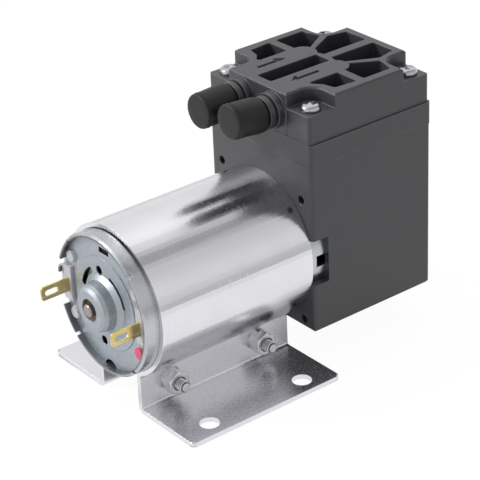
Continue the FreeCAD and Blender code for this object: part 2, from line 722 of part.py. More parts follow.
case.pocket("XZ_Plane", head_front - 1, back_face + 1, *[
    circle(back_screw_x * sx, axis_height + back_screw_z * sz, 1.15) for sx, sz in FOUR])
head_middle = (head_front + head_back) / 2
screw_x = head_half - screw_inset
screw_y = (head_back - head_front) / 2 - screw_inset
screw_tip = case_top - 6.5
case.pocket("XY_Plane", screw_tip - 0.5, case_top + 1, *[
    circle(screw_x * sx, head_middle + screw_y * sy, screw_radius) for sx, sy in FOUR])
window_depth = size("window_depth", 4.95, "side windows that show the can")
window_half = size("window_half", 6.0, "half the height of the side windows")
case.pocket("XZ_Plane", head_front - 1, head_front + window_depth, *[
    rectangle(min(side, side * 1.2) * 16.0, axis_height + 0.3 - window_half,
              max(side, side * 1.2) * 16.0, axis_height + 0.3 + window_half) for side in MIRROR])

# Rear cover, inset in the back of the crankcase, with its four screws
lid = Sketched("rear_cover")
lid_face = case_back - 0.2
lid.pad("XZ_Plane", back_face, lid_face, rectangle(-lid_half, lid_low, lid_half, lid_high))
lid.soften(1.0, along_y)
lid.pad("XZ_Plane", back_face - 1.6, back_face, circle(0, axis_height, 16.6))
lid.pocket("XZ_Plane", back_face - 2, back_face - 0.4, circle(0, axis_height, 15.2))
lid.pocket("XZ_Plane", back_face - 2, case_back + 1, *[
    circle(back_screw_x * sx, axis_height + back_screw_z * sz, 1.05) for sx, sz in FOUR])
node("rear_cover_screws", group(*[
    pan_screw("Y", as_size(1.6), 1.1, as_size(1.0), lid_face, lid_face - 12.0, back_screw_x * sx,
              axis_height + back_screw_z * sz) for sx, sz in FOUR]))

# Crank: eccentric with its counterweight, set screw and ball bearing; the pin rests at the bottom
hub_back = pilot_end + 0.5
hub_front = crank_place - bearing_half - 0.2
pin_height = axis_height - throw
hub = cylinder("Y", as_size(5.6), hub_back, hub_front, 0, axis_height)
weight = common(cylinder("Y", as_size(9.0), hub_back + 0.4, hub_front - 0.6, 0, axis_height),
                box((-9.5, hub_back, axis_height), (9.5, hub_front, axis_height + 9.5)))
journal = cylinder("Y", pin_radius, hub_front - 0.5, crank_place + bearing_half + 0.2, 0, pin_height)
shoulder = cylinder("Y", pin_radius + 0.8, hub_front - 0.5, crank_place - bearing_half, 0, pin_height)
bore = cylinder("Y", shaft_radius, hub_back - 1, shaft_front, 0, axis_height)
screw_y_place = (hub_back + hub_front) / 2
thread = cylinder("Z", bolt_radius, axis_height - 9, axis_height, 0, screw_y_place)
node("eccentric", cut(fuse(hub, weight, shoulder, journal), bore, thread))
grub = cylinder("Z", bolt_radius, axis_height - 5.3, axis_height - shaft_radius + 0.3, 0, screw_y_place)
node("set_screw", cut(grub, hexagon("Z", as_size(1.5), axis_height - 5.4, axis_height - 3.8, 0, screw_y_place)))


def race(inner, outer):
    low, high = crank_place - bearing_half, crank_place + bearing_half
    return cut(cylinder("Y", outer, low, high, 0, pin_height),
               cylinder("Y", inner, low - 1, high + 1, 0, pin_height))


def bearing_ball(turn):
    """A ball as a short roll with its two ends turned down to flats."""
    x, z = ball_place * math.sin(turn), pin_height + ball_place * math.cos(turn)
    flat = ball_radius * 0.4
    layers = [(-ball_radius, -flat, flat, ball_radius), (flat, ball_radius, ball_radius, flat)]
    ends = [cone("Y", first, last, crank_place + low, crank_place + high, x, z)
            for low, high, first, last in layers]
    return fuse(cylinder("Y", ball_radius, crank_place - flat, crank_place + flat, x, z), *ends)


ball_place = size("ball_place", 4.75, "ball circle of the crank bearing")
ball_radius = size("ball_radius", 0.95, "bearing ball")
ball_play = size("ball_play", 0.05, "balls to the inner ring")
ball_count = 9
node("bearing_inner_ring", race(pin_radius, ball_place - ball_radius - ball_play))
node("bearing_outer_ring", race(ball_place + ball_radius, bearing_outer))
node("bearing_balls", group(*[bearing_ball(2 * math.pi * k / ball_count) for k in range(ball_count)]))

# Connecting rod, diaphragm, clamp plate and its screw
head_top = case_top - rubber - throw
head_low = head_top - 2.4
rod = Sketched("connecting_rod", y=crank_place, z=pin_height)
rod.pad("XZ_Plane", -bearing_half, bearing_half, circle(0, 0, rod_ring))
rod.pad("XZ_Plane", -bearing_half + 0.3, bearing_half - 0.3,
        outline((-3.4, rod_ring - 1.4), (3.4, rod_ring - 1.4), (3.0, head_low - pin_height + 0.5),
                (-3.0, head_low - pin_height + 0.5)))
rod.pad("XY_Plane", head_low - pin_height, head_top - pin_height, circle(0, 0, rod_head))
rod.pad("XZ_Plane", -0.8, 0.8, outline(
    (-3.2, rod_ring + 2.5), (3.2, rod_ring + 2.5), (6.6, head_low - pin_height + 0.2),
    (-6.6, head_low - pin_height + 0.2)))
rod.pocket("XZ_Plane", -bearing_half - 1, bearing_half + 1, circle(0, 0, bearing_outer))
rod.pocket("XY_Plane", head_top - pin_height - 9.0, head_top - pin_height + 1, circle(0, 0, bolt_radius))

seat_low = case_top - rubber
centre_top = head_top + rubber
diaphragm = Sketched("diaphragm", y=crank_place)
diaphragm.revolve("XZ_Plane", "V_Axis", outline(
    (bolt_radius, head_top), (9.2, head_top), (flex_radius - 0.1, seat_low), (seat_radius - 0.05, seat_low),
    (seat_radius - 0.05, case_top), (flex_radius - 0.4, case_top), (8.9, centre_top),
    (bolt_radius, centre_top)))
clamp_top = centre_top + clamp_gauge
sink = clamp_gauge - 0.1
clamp = Sketched("clamp_plate", y=crank_place)
clamp.revolve("XZ_Plane", "V_Axis", outline(
    (bolt_radius, centre_top), (8.1, centre_top), (8.1, clamp_top - 0.4), (7.7, clamp_top),
    (bolt_radius + sink, clamp_top), (bolt_radius, clamp_top - sink)))
sunk = cone("Z", bolt_radius, bolt_radius + sink, clamp_top - sink, clamp_top, 0, crank_place)
stem = cylinder("Z", bolt_radius, head_top - 8.0, clamp_top - sink, 0, crank_place)
node("diaphragm_screw", fuse(sunk, stem))

# Valve plate between crankcase and cover, with an umbrella valve for each port
plate_half = case_half + plate_lip
valves = Sketched("valve_plate")
valves.pad("XY_Plane", case_top, plate_top, rectangle(
    -plate_half, head_front - plate_lip, plate_half, case_back + plate_lip))
valves.soften(head_round, upright)
valves.pocket("XY_Plane", case_top - 1, chamber_roof, circle(0, crank_place, flex_radius))
valve_radius = size("valve_radius", 2.1, "umbrella valve")
valve_sink = size("valve_sink", 0.9, "recess that the umbrella lies in")
seal_groove = size("seal_groove", 0.9, "seal groove depth")
valves.pocket("XY_Plane", chamber_roof - 0.5, chamber_roof + valve_sink,
              circle(-port_offset, valve_place, valve_radius + 0.5))
port_spots = [(port_offset * side + 1.3 * math.cos(a), valve_place + 1.3 * math.sin(a))
              for side in MIRROR for a in (0.8, 2.37, 3.94, 5.5)]
valves.pocket("XY_Plane", chamber_roof - 1, plate_top + 1, *(
    [circle(x, y, 0.5) for x, y in port_spots]
    + [circle(port_offset * side, valve_place, 0.6) for side in MIRROR]))
seal_x = size("seal_x", 9.9, "seal half width")
seal_front = size("seal_front", 23.9, "front edge of the seal")
seal_back = size("seal_back", 43.9, "rear edge of the seal")
seal_width = size("seal_width", 1.2, "seal width")
seal_inner = seal_x - seal_width
seal_shape = [rectangle(-seal_x, seal_front, seal_x, seal_back)] + [
    rectangle(low, seal_front + seal_width, high, seal_back - seal_width)
    for low, high in ((-seal_inner, -seal_width / 2), (seal_width / 2, seal_inner))]
valves.pocket("XY_Plane", plate_top - seal_groove, plate_top + 1, *seal_shape)
valves.pocket("XY_Plane", case_top - 1, plate_top + 1, *[
    circle(screw_x * sx, head_middle + screw_y * sy, screw_radius + 0.05) for sx, sy in FOUR])
seal = Sketched("cover_seal")
seal.pad("XY_Plane", plate_top - seal_groove, plate_top, *seal_shape)


def umbrella(side, face, way):
    """A rubber mushroom; way is +1 where its cap lies above the plate, -1 below."""
    x = port_offset * side
    low, high = (face, face + 0.6) if way > 0 else (face - 0.6, face)
    cap = cylinder("Z", valve_radius, low, high, x, valve_place)
    stem_low, stem_high = (chamber_roof - 0.9, face + 0.3) if way > 0 else (face - 0.3, plate_top + 0.9)
    stalk = cylinder("Z", 0.6, stem_low, stem_high, x, valve_place)
    knob_low = stem_low if way > 0 else stem_high - 0.9
    knob = cylinder("Z", 0.85, knob_low, knob_low + 0.9, x, valve_place)
    return fuse(cap, stalk, knob)


node("inlet_valve", umbrella(-1, chamber_roof + valve_sink, -1))
node("outlet_valve", umbrella(1, plate_top, 1))

# Top cover: two port chambers under rounded lobes, ribbed pockets and corner ledges for the screws
recess_x = size("recess_x", 10.6, "inner side of the corner ledges")
recess_y = size("recess_y", 8.1, "depth of the corner ledges")
recess_round = size("recess_round", 3.6, "inner corner of the ledges")
pocket_floor = size("pocket_floor", 61.3, "floor of the pockets in the cover")
pocket_round = size("pocket_round", 0.7, "corners of those pockets")
rim_width = size("rim_width", 2.4, "wall round the top of the cover")
slot_half = size("slot_half", 2.6, "half the width of the slot between the port chambers")
lobe_radius = size("lobe_radius", 3.3, "rounded ends of the port chambers")
lobe_end = size("lobe_end", 41.5, "centres of those ends along the motor")
cover = Sketched("top_cover")
cover.pad("XY_Plane", plate_top, cover_top, rectangle(-head_half, head_front, head_half, head_back))
cover.soften(head_round, upright)
for sx in MIRROR:
    for edge_y, sy in ((head_front, 1), (head_back, -1)):
        cover.pocket("XY_Plane", ledge, cover_top + 1, outline(
            (recess_x * sx, edge_y - 3 * sy), (recess_x * sx, edge_y + recess_y * sy),
            ((head_half + 3) * sx, edge_y + recess_y * sy), ((head_half + 3) * sx, edge_y - 3 * sy)))


def inner_corner(middle, run, edge):
    near_y = min(abs(middle.y - num(head_front + recess_y)), abs(middle.y - num(head_back - recess_y)))
    return upright(middle, run, edge) and abs(abs(middle.x) - num(recess_x)) < 0.01 and near_y < 0.01


cover.soften(recess_round, inner_corner)
cover.soften(0.4, lambda middle, run, edge: abs(middle.z - num(cover_top)) < 0.01, "PartDesign::Chamfer")
lobe_place = slot_half + lobe_radius
lobe_side = lobe_place + lobe_radius
web = head_half - rim_width


def top_pockets(sx):
    """The three pockets on one side: beside the chamber, behind it, and along the middle rib."""
    beside = outline((lobe_side * sx, 29.6), (12.3 * sx, 32.2), ((web - 0.6) * sx, 32.9),
                     (web * sx, 39.3), (lobe_side * sx, 39.3))
    behind = outline((lobe_place * sx, lobe_end), (web * sx, lobe_end - 0.2), (web * sx, 49.8),
                     (11.0 * sx, 51.3), ((lobe_place + 0.6) * sx, 44.0))
    middle = outline((1.3 * sx, 44.1), (3.6 * sx, 43.6), ((lobe_place - 0.6) * sx, 44.2), (9.6 * sx, 52.4),
                     (8.4 * sx, 57.6), (1.3 * sx, 57.8))
    return beside, behind, middle


for sx in MIRROR:
    cover.pocket("XY_Plane", pocket_floor, cover_top + 1, *top_pockets(sx))
cover.pocket("XY_Plane", pocket_floor, cover_top + 1, rectangle(-slot_half, 24.4, slot_half, 42.8))
for sx in MIRROR:
    cover.pad("XY_Plane", pocket_floor - 0.5, cover_top, circle(lobe_place * sx, lobe_end, lobe_radius))


def pocket_corner(middle, run, edge):
    low, high = edge.BoundBox.ZMin, edge.BoundBox.ZMax
    whole = abs(low - num(pocket_floor)) < 0.01 and abs(high - num(cover_top)) < 0.01
    from_lobe = math.hypot(abs(middle.x) - num(lobe_place), middle.y - num(lobe_end))
    return upright(middle, run, edge) and whole and from_lobe > num(lobe_radius) + 0.05


cover.soften(pocket_round, pocket_corner)
for sx in MIRROR:
    cover.pocket("XY_Plane", plate_top - 1, cover_top - 1.6, rectangle(
        sx * port_offset - 2.2, 25.4, sx * port_offset + 2.2, 41.4))
seam = size("seam", 0.25, "seam beside the port block on the front face")
cover.pocket("XZ_Plane", head_front - 1, head_front + seam, *[
    rectangle(recess_x * side - seam / 2, plate_top - 1, recess_x * side + seam / 2, ledge) for side in MIRROR])


collar_radius = size("collar_radius", 4.5, "ringed collar at the face")
ring_radius = size("ring_radius", 4.1, "second ring of the collar")
for sx in MIRROR:
    x = port_offset * sx
    for low, high, radius in ((head_front - 1.9, head_front, collar_radius),
                              (head_front - 3.9, head_front - 2.4, ring_radius),
                              (spigot_tip, head_front, spigot_radius)):
        cover.pad("XZ_Plane", low, high, circle(x, port_height, radius))
    cover.pocket("XZ_Plane", spigot_tip - 1, head_front + 4.5, circle(x, port_height, spigot_bore))
cover.pocket("XY_Plane", plate_top - 1, ledge + 1, *[
    circle(screw_x * sx, head_middle + screw_y * sy, screw_radius + 0.05) for sx, sy in FOUR])
arrow_depth = size("arrow_depth", 0.5, "flow arrows")
for sx, tip, tail in ((-1, 36.1, 27.4), (1, 28.0, 36.7)):
    way = 1 if tip > tail else -1
    stem = port_offset * sx - 0.2
    cover.pocket("XY_Plane", cover_top - arrow_depth, cover_top + 1, outline(
        (stem - 0.6, tail), (stem + 0.6, tail), (stem + 0.6, tip - 1.6 * way), (stem + 0.1, tip),
        (stem - 1.8, tip - 2.5 * way), (stem - 1.2, tip - 3.1 * way), (stem - 0.6, tip - 2.5 * way)))
node("cover_screws", group(*[
    pan_screw("Z", as_size(2.45), 1.9, screw_radius, ledge, screw_tip,
              screw_x * sx, head_middle + screw_y * sy)
    for sx, sy in FOUR]))

# Rubber caps that close the ports
cap_back = size("cap_back", 8.9, "closed end of the caps")
cap_open = size("cap_open", 18.1, "open end of the caps")
for name, sx in (("inlet_cap", -1), ("outlet_cap", 1)):
    cap = Sketched(name, x=port_offset * sx, z=port_height)
    bore_radius = spigot_radius + cap_play
    cap.revolve("YZ_Plane", "H_Axis", outline(
        (cap_back, 0.0), (cap_back, cap_radius - 0.4), (cap_back + 0.4, cap_radius),
        (cap_open, cap_radius + 0.1), (cap_open, bore_radius), (spigot_tip - 0.4, bore_radius),
        (spigot_tip - 0.4, 0.0)))

# Every piece is checked and written
doc.recompute()
for thing in doc.Objects:
    assert not {"Invalid", "Error"} & set(thing.State), "%s failed" % thing.Label
os.makedirs("parts", exist_ok=True)
for name, thing in nodes.items():
    shape = thing.Shape
    assert not shape.isNull() and shape.isValid(), "%s is not a sound shape" % name
    shape.exportStep(os.path.join("parts", name + ".step"))
    box_of = shape.BoundBox
    print("%-20s solids %d volume %9.1f  x %6.1f..%5.1f  y %6.1f..%5.1f  z %6.1f..%5.1f" % (
        name, len(shape.Solids), shape.Volume, box_of.XMin, box_of.XMax, box_of.YMin, box_of.YMax,
        box_of.ZMin, box_of.ZMax))
print(len(nodes), "nodes")
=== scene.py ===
# %% [markdown]
# # A diaphragm vacuum pump, dressed for its photograph
#
# The pump is a round motor in a clamp of bright sheet steel, with a tall black pump head in front.
# Its solids come ready made from the CAD model. This lesson gives them their finishes, and makes
# the small turned, threaded and rubber pieces that a CAD file keeps plain.
#
# The first step loads the model. Every node lies at its true place in metres, so nothing has to be
# fitted.

# %% Load the imported model
import bmesh
import bpy
import json
import math
from mathutils import Matrix, Vector


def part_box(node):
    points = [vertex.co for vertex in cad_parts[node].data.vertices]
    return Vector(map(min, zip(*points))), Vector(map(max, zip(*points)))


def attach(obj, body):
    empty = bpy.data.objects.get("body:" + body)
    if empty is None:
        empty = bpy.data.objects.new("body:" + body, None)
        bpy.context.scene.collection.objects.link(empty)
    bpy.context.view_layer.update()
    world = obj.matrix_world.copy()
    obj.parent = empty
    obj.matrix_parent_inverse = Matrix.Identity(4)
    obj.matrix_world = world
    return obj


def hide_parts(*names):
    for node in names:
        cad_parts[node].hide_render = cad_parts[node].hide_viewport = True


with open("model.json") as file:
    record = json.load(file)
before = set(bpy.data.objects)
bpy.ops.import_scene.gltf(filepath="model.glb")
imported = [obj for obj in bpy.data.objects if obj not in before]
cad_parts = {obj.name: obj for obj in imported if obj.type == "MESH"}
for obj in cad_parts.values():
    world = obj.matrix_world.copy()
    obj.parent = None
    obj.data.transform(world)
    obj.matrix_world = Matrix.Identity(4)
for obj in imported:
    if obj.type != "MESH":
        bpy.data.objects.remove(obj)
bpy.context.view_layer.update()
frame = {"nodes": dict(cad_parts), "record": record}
MM = 0.001

# %% [markdown]
# ## The camera
#
# The photographer stood to the right of the motor and above it, with a long lens, so that upright
# edges stay almost parallel. The view is kept as a compass bearing, a height above the horizon and
# a slight roll of the camera, which are easier to read than a matrix of nine numbers.

# %% Place the camera
BEARING = math.radians(52.61)
HEIGHT = math.radians(27.88)
ROLL = math.radians(-2.57)
CAMERA_PLACE = Vector((339.5, -244.25, 255.6)) * MM
FOCAL_PIXELS = 2001.9
PICTURE_PIXELS = 480
SENSOR_WIDTH = 36.0
NEAREST, FARTHEST = 0.01, 20.0

camera = bpy.data.objects.new("camera", bpy.data.cameras.new("camera"))
bpy.context.scene.collection.objects.link(camera)
camera.data.sensor_width = SENSOR_WIDTH
camera.data.lens = camera.data.sensor_width * FOCAL_PIXELS / PICTURE_PIXELS
camera.data.clip_start, camera.data.clip_end = NEAREST, FARTHEST
turn = (Matrix.Rotation(BEARING, 4, "Z") @ Matrix.Rotation(math.pi / 2 - HEIGHT, 4, "X")
        @ Matrix.Rotation(ROLL, 4, "Z"))
camera.matrix_world = Matrix.Translation(CAMERA_PLACE) @ turn
bpy.context.scene.camera = camera
print("lens", round(camera.data.lens, 1), "mm")

# %% [markdown]
# ## Arithmetic on shader sockets
#
# A finish is a small sum: so much grain, less some wear, times a tint. Written as bare nodes it
# takes a page, so one class wraps a socket and answers to plus, minus and times by adding the Math
# node that does it. The socket stands on the left, but for a number less a socket. A second class
# holds one material and adds every other kind of node.

# %% Wrap a socket
class Signal:
    """A number or colour on its way between two shader nodes."""

    def __init__(self, finish, socket):
        self.finish = finish
        self.socket = socket

    def maths(self, operation, *values):
        return self.finish.node("Math", {"operation": operation}, values)

    def __add__(self, other):
        return self.maths("ADD", self, other)

    def __sub__(self, other):
        return self.maths("SUBTRACT", self, other)

    def __rsub__(self, other):
        return self.maths("SUBTRACT", other, self)

    def __mul__(self, other):
        return self.maths("MULTIPLY", self, other)


def grey(value):
    return (value, value, value, 1.0)


def tone(red, green, blue):
    """A colour as it is read off a screen, from 0 to 255, made linear."""
    def linear(level):
        share = level / 255.0
        return share / 12.92 if share < 0.04045 else ((share + 0.055) / 1.055) ** 2.4
    return (linear(red), linear(green), linear(blue), 1.0)


print("red", [round(v, 3) for v in tone(216, 74, 114)])

# %% Wrap a material
class Finish:
    """One material: its node tree, its shader and the patterns that feed it."""

    def __init__(self, name):
        self.material = bpy.data.materials.new(name)
        self.material.use_nodes = True
        self.tree = self.material.node_tree
        self.shader = self.tree.nodes["Principled BSDF"]
        self.place = self.node("TexCoord", out="Object")

    def node(self, kind, settings=None, values=(), out=0):
        """Add a node: settings first, then its sockets by name or by order."""
        made = self.tree.nodes.new("ShaderNode" + kind)
        for name, value in (settings or {}).items():
            if name == "stops":
                self.ramp(made.color_ramp, value)
            else:
                setattr(made, name, value)
        given = values.items() if isinstance(values, dict) else enumerate(values)
        for key, value in given:
            self.feed(made.inputs[key], value)
        return Signal(self, made.outputs[out])

    def ramp(self, ramp, stops):
        while len(ramp.elements) < len(stops):
            ramp.elements.new(1.0)
        for element, (spot, shade) in zip(ramp.elements, stops):
            element.position = spot
            element.color = shade

    def feed(self, socket, value):
        if isinstance(value, Signal):
            self.tree.links.new(value.socket, socket)
        else:
            socket.default_value = value

    def set(self, **sockets):
        """Feed the shader; base_color stands for the socket Base Color."""
        for name, value in sockets.items():
            socket = name.replace("_", " ").title().replace("Ior", "IOR")
            self.feed(self.shader.inputs[socket], value)

    def stretch(self, x=1.0, y=1.0, z=1.0):
        """The object's own coordinates, stretched, so that a pattern runs long one way."""
        return self.node("Mapping", None, {"Vector": self.place, "Scale": (x, y, z)})

    def along(self, letter):
        """One of the object's own coordinates, in metres."""
        return self.node("SeparateXYZ", None, [self.place], letter)

    def noise(self, size, detail=2.0, rough=0.5, place=None):
        """Cloudy noise, 0 to 1, whose lumps are about size metres across."""
        values = {"Vector": place or self.place, "Scale": 1.0 / size, "Detail": detail,
                  "Roughness": rough}
        return self.node("TexNoise", None, values)

    def steps(self, signal, *stops):
        """A ramp of greys: pairs of place and value."""
        return self.node("ValToRGB", {"stops": [(spot, grey(v)) for spot, v in stops]}, [signal])

    def blend(self, share, first, second):
        """A colour between two others."""
        return self.node("Mix", {"data_type": "RGBA"}, {0: share, 6: first, 7: second}, 2)

    def mixed(self, share, first, second):
        """A direction between two others."""
        return self.node("Mix", {"data_type": "VECTOR"}, {0: share, 4: first, 5: second}, 1)

    def soft_edges(self, radius):
        """A normal that rounds sharp edges, as a moulding or a deburred sheet has them."""
        return self.node("Bevel", {"samples": 6}, {"Radius": radius})

    def edge_mask(self, radius):
        """0 on flat stretches, rising to about 1 on an edge."""
        flat = self.node("NewGeometry", out="Normal")
        turned = self.node("VectorMath", {"operation": "DOT_PRODUCT"},
                           [self.soft_edges(radius), flat], "Value")
        return self.steps(1.0 - turned, (0.02, 0.0), (0.25, 1.0))

    def bump(self, height, depth, under=None):
        """A normal from a height map of 0 to 1 that stands depth metres proud."""
        values = {"Height": height, "Distance": depth, "Strength": 1.0}
        if under:
            values["Normal"] = under
        return self.node("Bump", None, values)

    def glow(self, colour, strength):
        """Give off plain light in place of the shader."""
        light = self.node("Emission", None, {"Color": colour, "Strength": strength})
        self.tree.links.new(light.socket, self.tree.nodes["Material Output"].inputs["Surface"])
        return light


print("patterns:", [name for name in dir(Finish) if not name.startswith("_")])

# %% [markdown]
# ## Floor, sky and lamps
#
# The photograph is a catalogue picture: the pump stands on nothing but white. The floor is a pale
# matt sheet that keeps a soft shadow. For the camera and for mirror rays both floor and sky are
# nearly plain white, which sends no more light onto the object. For mirror rays the floor's glow
# is dimmed under the pump head and under the motor: painted shade, which polished steel mirrors.

# %% Make the floor
def straight_rays(finish):
    """1 for camera, mirror and glass rays, 0 for the light that falls on things."""
    rays = finish.node("LightPath")
    sockets = rays.socket.node.outputs
    camera_ray, glossy, through = [Signal(finish, sockets["Is " + kind + " Ray"])
                                   for kind in ("Camera", "Glossy", "Transmission")]
    seen = camera_ray.maths("MAXIMUM", camera_ray, glossy)
    return seen.maths("MAXIMUM", seen, through)


def stage_piece(name, bm, material):
    """A piece of the studio, which isn't part of the pump."""
    mesh = bpy.data.meshes.new(name)
    bm.to_mesh(mesh)
    bm.free()
    mesh.materials.append(material)
    piece = bpy.data.objects.new(name, mesh)
    bpy.context.scene.collection.objects.link(piece)
    return piece


FLOOR_SIZE = 6.0
FLOOR_DROP = 0.02 * MM
WHITENESS, PAPER_GLOW = 0.93, 1.03
UNDER_HEAD, HEAD_SHADE = Vector((0.0, 0.041, 0.0)), 0.027
MOTOR_SHADE, MOTOR_NARROW = 0.025, 3.2
paper = Finish("pale_floor")
paper.set(base_color=grey(0.86), roughness=0.9)
matt = Signal(paper, paper.shader.outputs[0])
from_head = paper.node("VectorMath", {"operation": "DISTANCE"}, [paper.place, UNDER_HEAD], "Value")
from_motor = paper.node("VectorMath", {"operation": "LENGTH"}, [paper.stretch(x=MOTOR_NARROW)],
                        "Value")
# Painted shade: for mirror rays only, the floor's glow is dimmed round the head and under the motor.
lit = paper.steps(from_head * (0.5 / HEAD_SHADE), (0.38, 0.3), (0.62, 1.0))
lit = lit * paper.steps(from_motor * (0.5 / MOTOR_SHADE), (0.44, 0.2), (0.58, 1.0))
mirrored = Signal(paper, paper.node("LightPath").socket.node.outputs["Is Glossy Ray"])
white = paper.glow(grey(1.0), (1.0 - mirrored * (1.0 - lit)) * PAPER_GLOW)
floor_mix = paper.node("MixShader", None, [straight_rays(paper) * WHITENESS, matt, white])
paper.tree.links.new(floor_mix.socket, paper.tree.nodes["Material Output"].inputs["Surface"])
sheet = bmesh.new()
bmesh.ops.create_grid(sheet, x_segments=1, y_segments=1, size=FLOOR_SIZE / 2)
bmesh.ops.translate(sheet, verts=sheet.verts, vec=(0, 0, -FLOOR_DROP))
stage_piece("floor", sheet, paper.material)
print("floor", FLOOR_SIZE, "m wide")

# %% Make the sky
SKY_ON_OBJECT = 0.38
world = bpy.data.worlds.new("studio")
bpy.context.scene.world = world
world.use_nodes = True
sky = Finish.__new__(Finish)  # only the node tools of a finish, without its material
sky.tree = world.node_tree
white_part = straight_rays(sky)
sky.feed(world.node_tree.nodes["Background"].inputs["Color"], grey(1.0))
sky.feed(world.node_tree.nodes["Background"].inputs["Strength"],
         white_part * (1.0 - SKY_ON_OBJECT) + SKY_ON_OBJECT)
bpy.context.scene.view_settings.view_transform = "Standard"
print("sky strength on the object", SKY_ON_OBJECT)

# %% Hang two soft lamps
MIDDLE = Vector((0.0, 0.015, 0.035))


def soft_lamp(name, place, width, watts):
    """A square soft box that faces the middle of the pump."""
    lamp = bpy.data.objects.new(name, bpy.data.lights.new(name, "AREA"))
    lamp.data.size = width
    lamp.data.energy = watts
    lamp.matrix_world = (Matrix.Translation(place)
                         @ (Vector(place) - MIDDLE).to_track_quat("Z", "Y").to_matrix().to_4x4())
    bpy.context.scene.collection.objects.link(lamp)
    return lamp


lamps = [soft_lamp("overhead", (-0.25, 0.1, 0.95), 1.1, 5.4),
         soft_lamp("front_left", (-0.62, -0.83, 0.68), 0.3, 9.8)]
print([lamp.name for lamp in lamps])

# %% [markdown]
# A polished tube shows only what it can mirror. So photographers hang grey sheets round bright
# metal. Here one sheet is bent in an arc about the motor's axis, from the floor on the right, over
# the top, to the left. Only mirror rays see it. Its brightness changes along the arc, and that
# draws the long pale and dark bands on the sleeve.

# %% Hang the grey sheet that the polished steel mirrors
AXIS = Vector((0.0, 0.0, 27.3)) * MM
ARC_RADIUS, ARC_FRONT, ARC_BACK = 0.25, -0.4, 0.8
ARC_LOW, ARC_HIGH, ARC_PEAK = -6.2, 186.0, 1.2
ARC_SPAN, ARC_STEPS = ARC_HIGH - ARC_LOW, 64
BANDS = ((ARC_LOW, 0.44), (-1.0, 0.5), (3.0, 0.68), (8.0, 0.78), (17.0, 0.86), (27.0, 0.81),
         (37.0, 0.75), (46.0, 0.69), (56.0, 0.65), (60.0, 0.6), (63.5, 0.36), (70.5, 0.36),
         (76.0, 0.52), (84.0, 0.78), (94.0, 0.98), (103.0, 1.16), (113.0, 1.1), (123.0, 1.0),
         (137.0, 0.94), (152.0, 0.89), (162.0, 0.9), (173.0, 0.94), (ARC_HIGH, 0.98))

arc = bmesh.new()
rail = [arc.verts.new((ARC_RADIUS, y, 0)) for y in (ARC_FRONT, ARC_BACK)]
bmesh.ops.rotate(arc, verts=rail, cent=(0, 0, 0),
                 matrix=Matrix.Rotation(math.radians(-ARC_LOW), 3, "Y"))
bmesh.ops.spin(arc, geom=rail + [arc.edges.new(rail)], cent=(0, 0, 0), axis=(0, -1, 0),
               angle=math.radians(ARC_SPAN), steps=ARC_STEPS)
bmesh.ops.translate(arc, verts=arc.verts, vec=AXIS)
banded = Finish("banded_sheet")
across, above = banded.along("X"), banded.along("Z") - AXIS.z
angle = across.maths("ARCTAN2", above, across) * math.degrees(1.0)
ramp = [((spot - ARC_LOW) / ARC_SPAN, level / ARC_PEAK) for spot, level in BANDS]
banded.glow(banded.steps((angle - ARC_LOW) * (1.0 / ARC_SPAN), *ramp), ARC_PEAK)
banded_sheet = stage_piece("banded_sheet", arc, banded.material)
banded_sheet.visible_camera = banded_sheet.visible_diffuse = False
banded_sheet.visible_shadow = banded_sheet.visible_transmission = False
print("sheet from", ARC_LOW, "to", ARC_HIGH, "degrees")

# %% [markdown]
# ## The finishes
#
# Fifteen finishes cover the pump. Each is built from the same few layers, at their true size: a
# slow cloud in the tint, a fine grain in the roughness, and a bump that is mostly a few microns
# deep. Sheet metal is drawn or rolled one way, so its grain is stretched that way. A moulded part
# has the spark eroded skin of its mould, an even crackle about a fifth of a millimetre across.

# %% Metals
BROKEN_EDGE = 0.15 * MM


def dim(colour, share):
    return tuple(level * share for level in colour[:3]) + (1.0,)


def metal(name, colour, rough, grain=0.0004, streak=(1.0, 1.0, 1.0), depth=2e-6):
    """Bare or plated metal with a cloudy tint, drawn lines and softly broken edges."""
    finish = Finish(name)
    patches = finish.noise(0.005, 3.0)
    lines = finish.noise(grain, 3.0, 0.65, finish.stretch(*streak))
    tint = finish.blend(patches, dim(colour, 0.92), dim(colour, 1.06))
    finish.set(base_color=tint, metallic=1.0,
               roughness=(lines - 0.5) * 0.1 + (patches - 0.5) * 0.08 + rough,
               normal=finish.bump(lines, depth, finish.soft_edges(BROKEN_EDGE)))
    return finish.material


looks = {
    "bright_steel": metal("bright_steel", tone(188, 188, 192), 0.2),
    "bronze": metal("bronze", tone(112, 100, 78), 0.5, 0.00015, depth=8e-6),
    "aluminium": metal("aluminium", tone(214, 215, 218), 0.34, 0.0003, (1.0, 0.2, 1.0), 4e-6),
    "lamination": metal("lamination", tone(120, 122, 128), 0.5, 0.0005, (0.01, 1.0, 0.01), 12e-6),
}
print(sorted(looks))

# %% [markdown]
# The bolts, washers and nuts, the motor's shaft and most of the bearing are plain steel. On the side
# of the nuts it is clean and pale, with painted shade in the thread and in the ring where the bolt
# leaves the nut. The rest, from the bolt heads to the shaft, is oiled and browner.

# %% Plain steel
CLEAN_FROM = 4.0 * MM
BOLT_SPACING, BOLT_HEIGHT, LONGER = 13.2, 6.0, 1.2
BOLT_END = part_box("clamp_bolts")[1].x + LONGER * MM


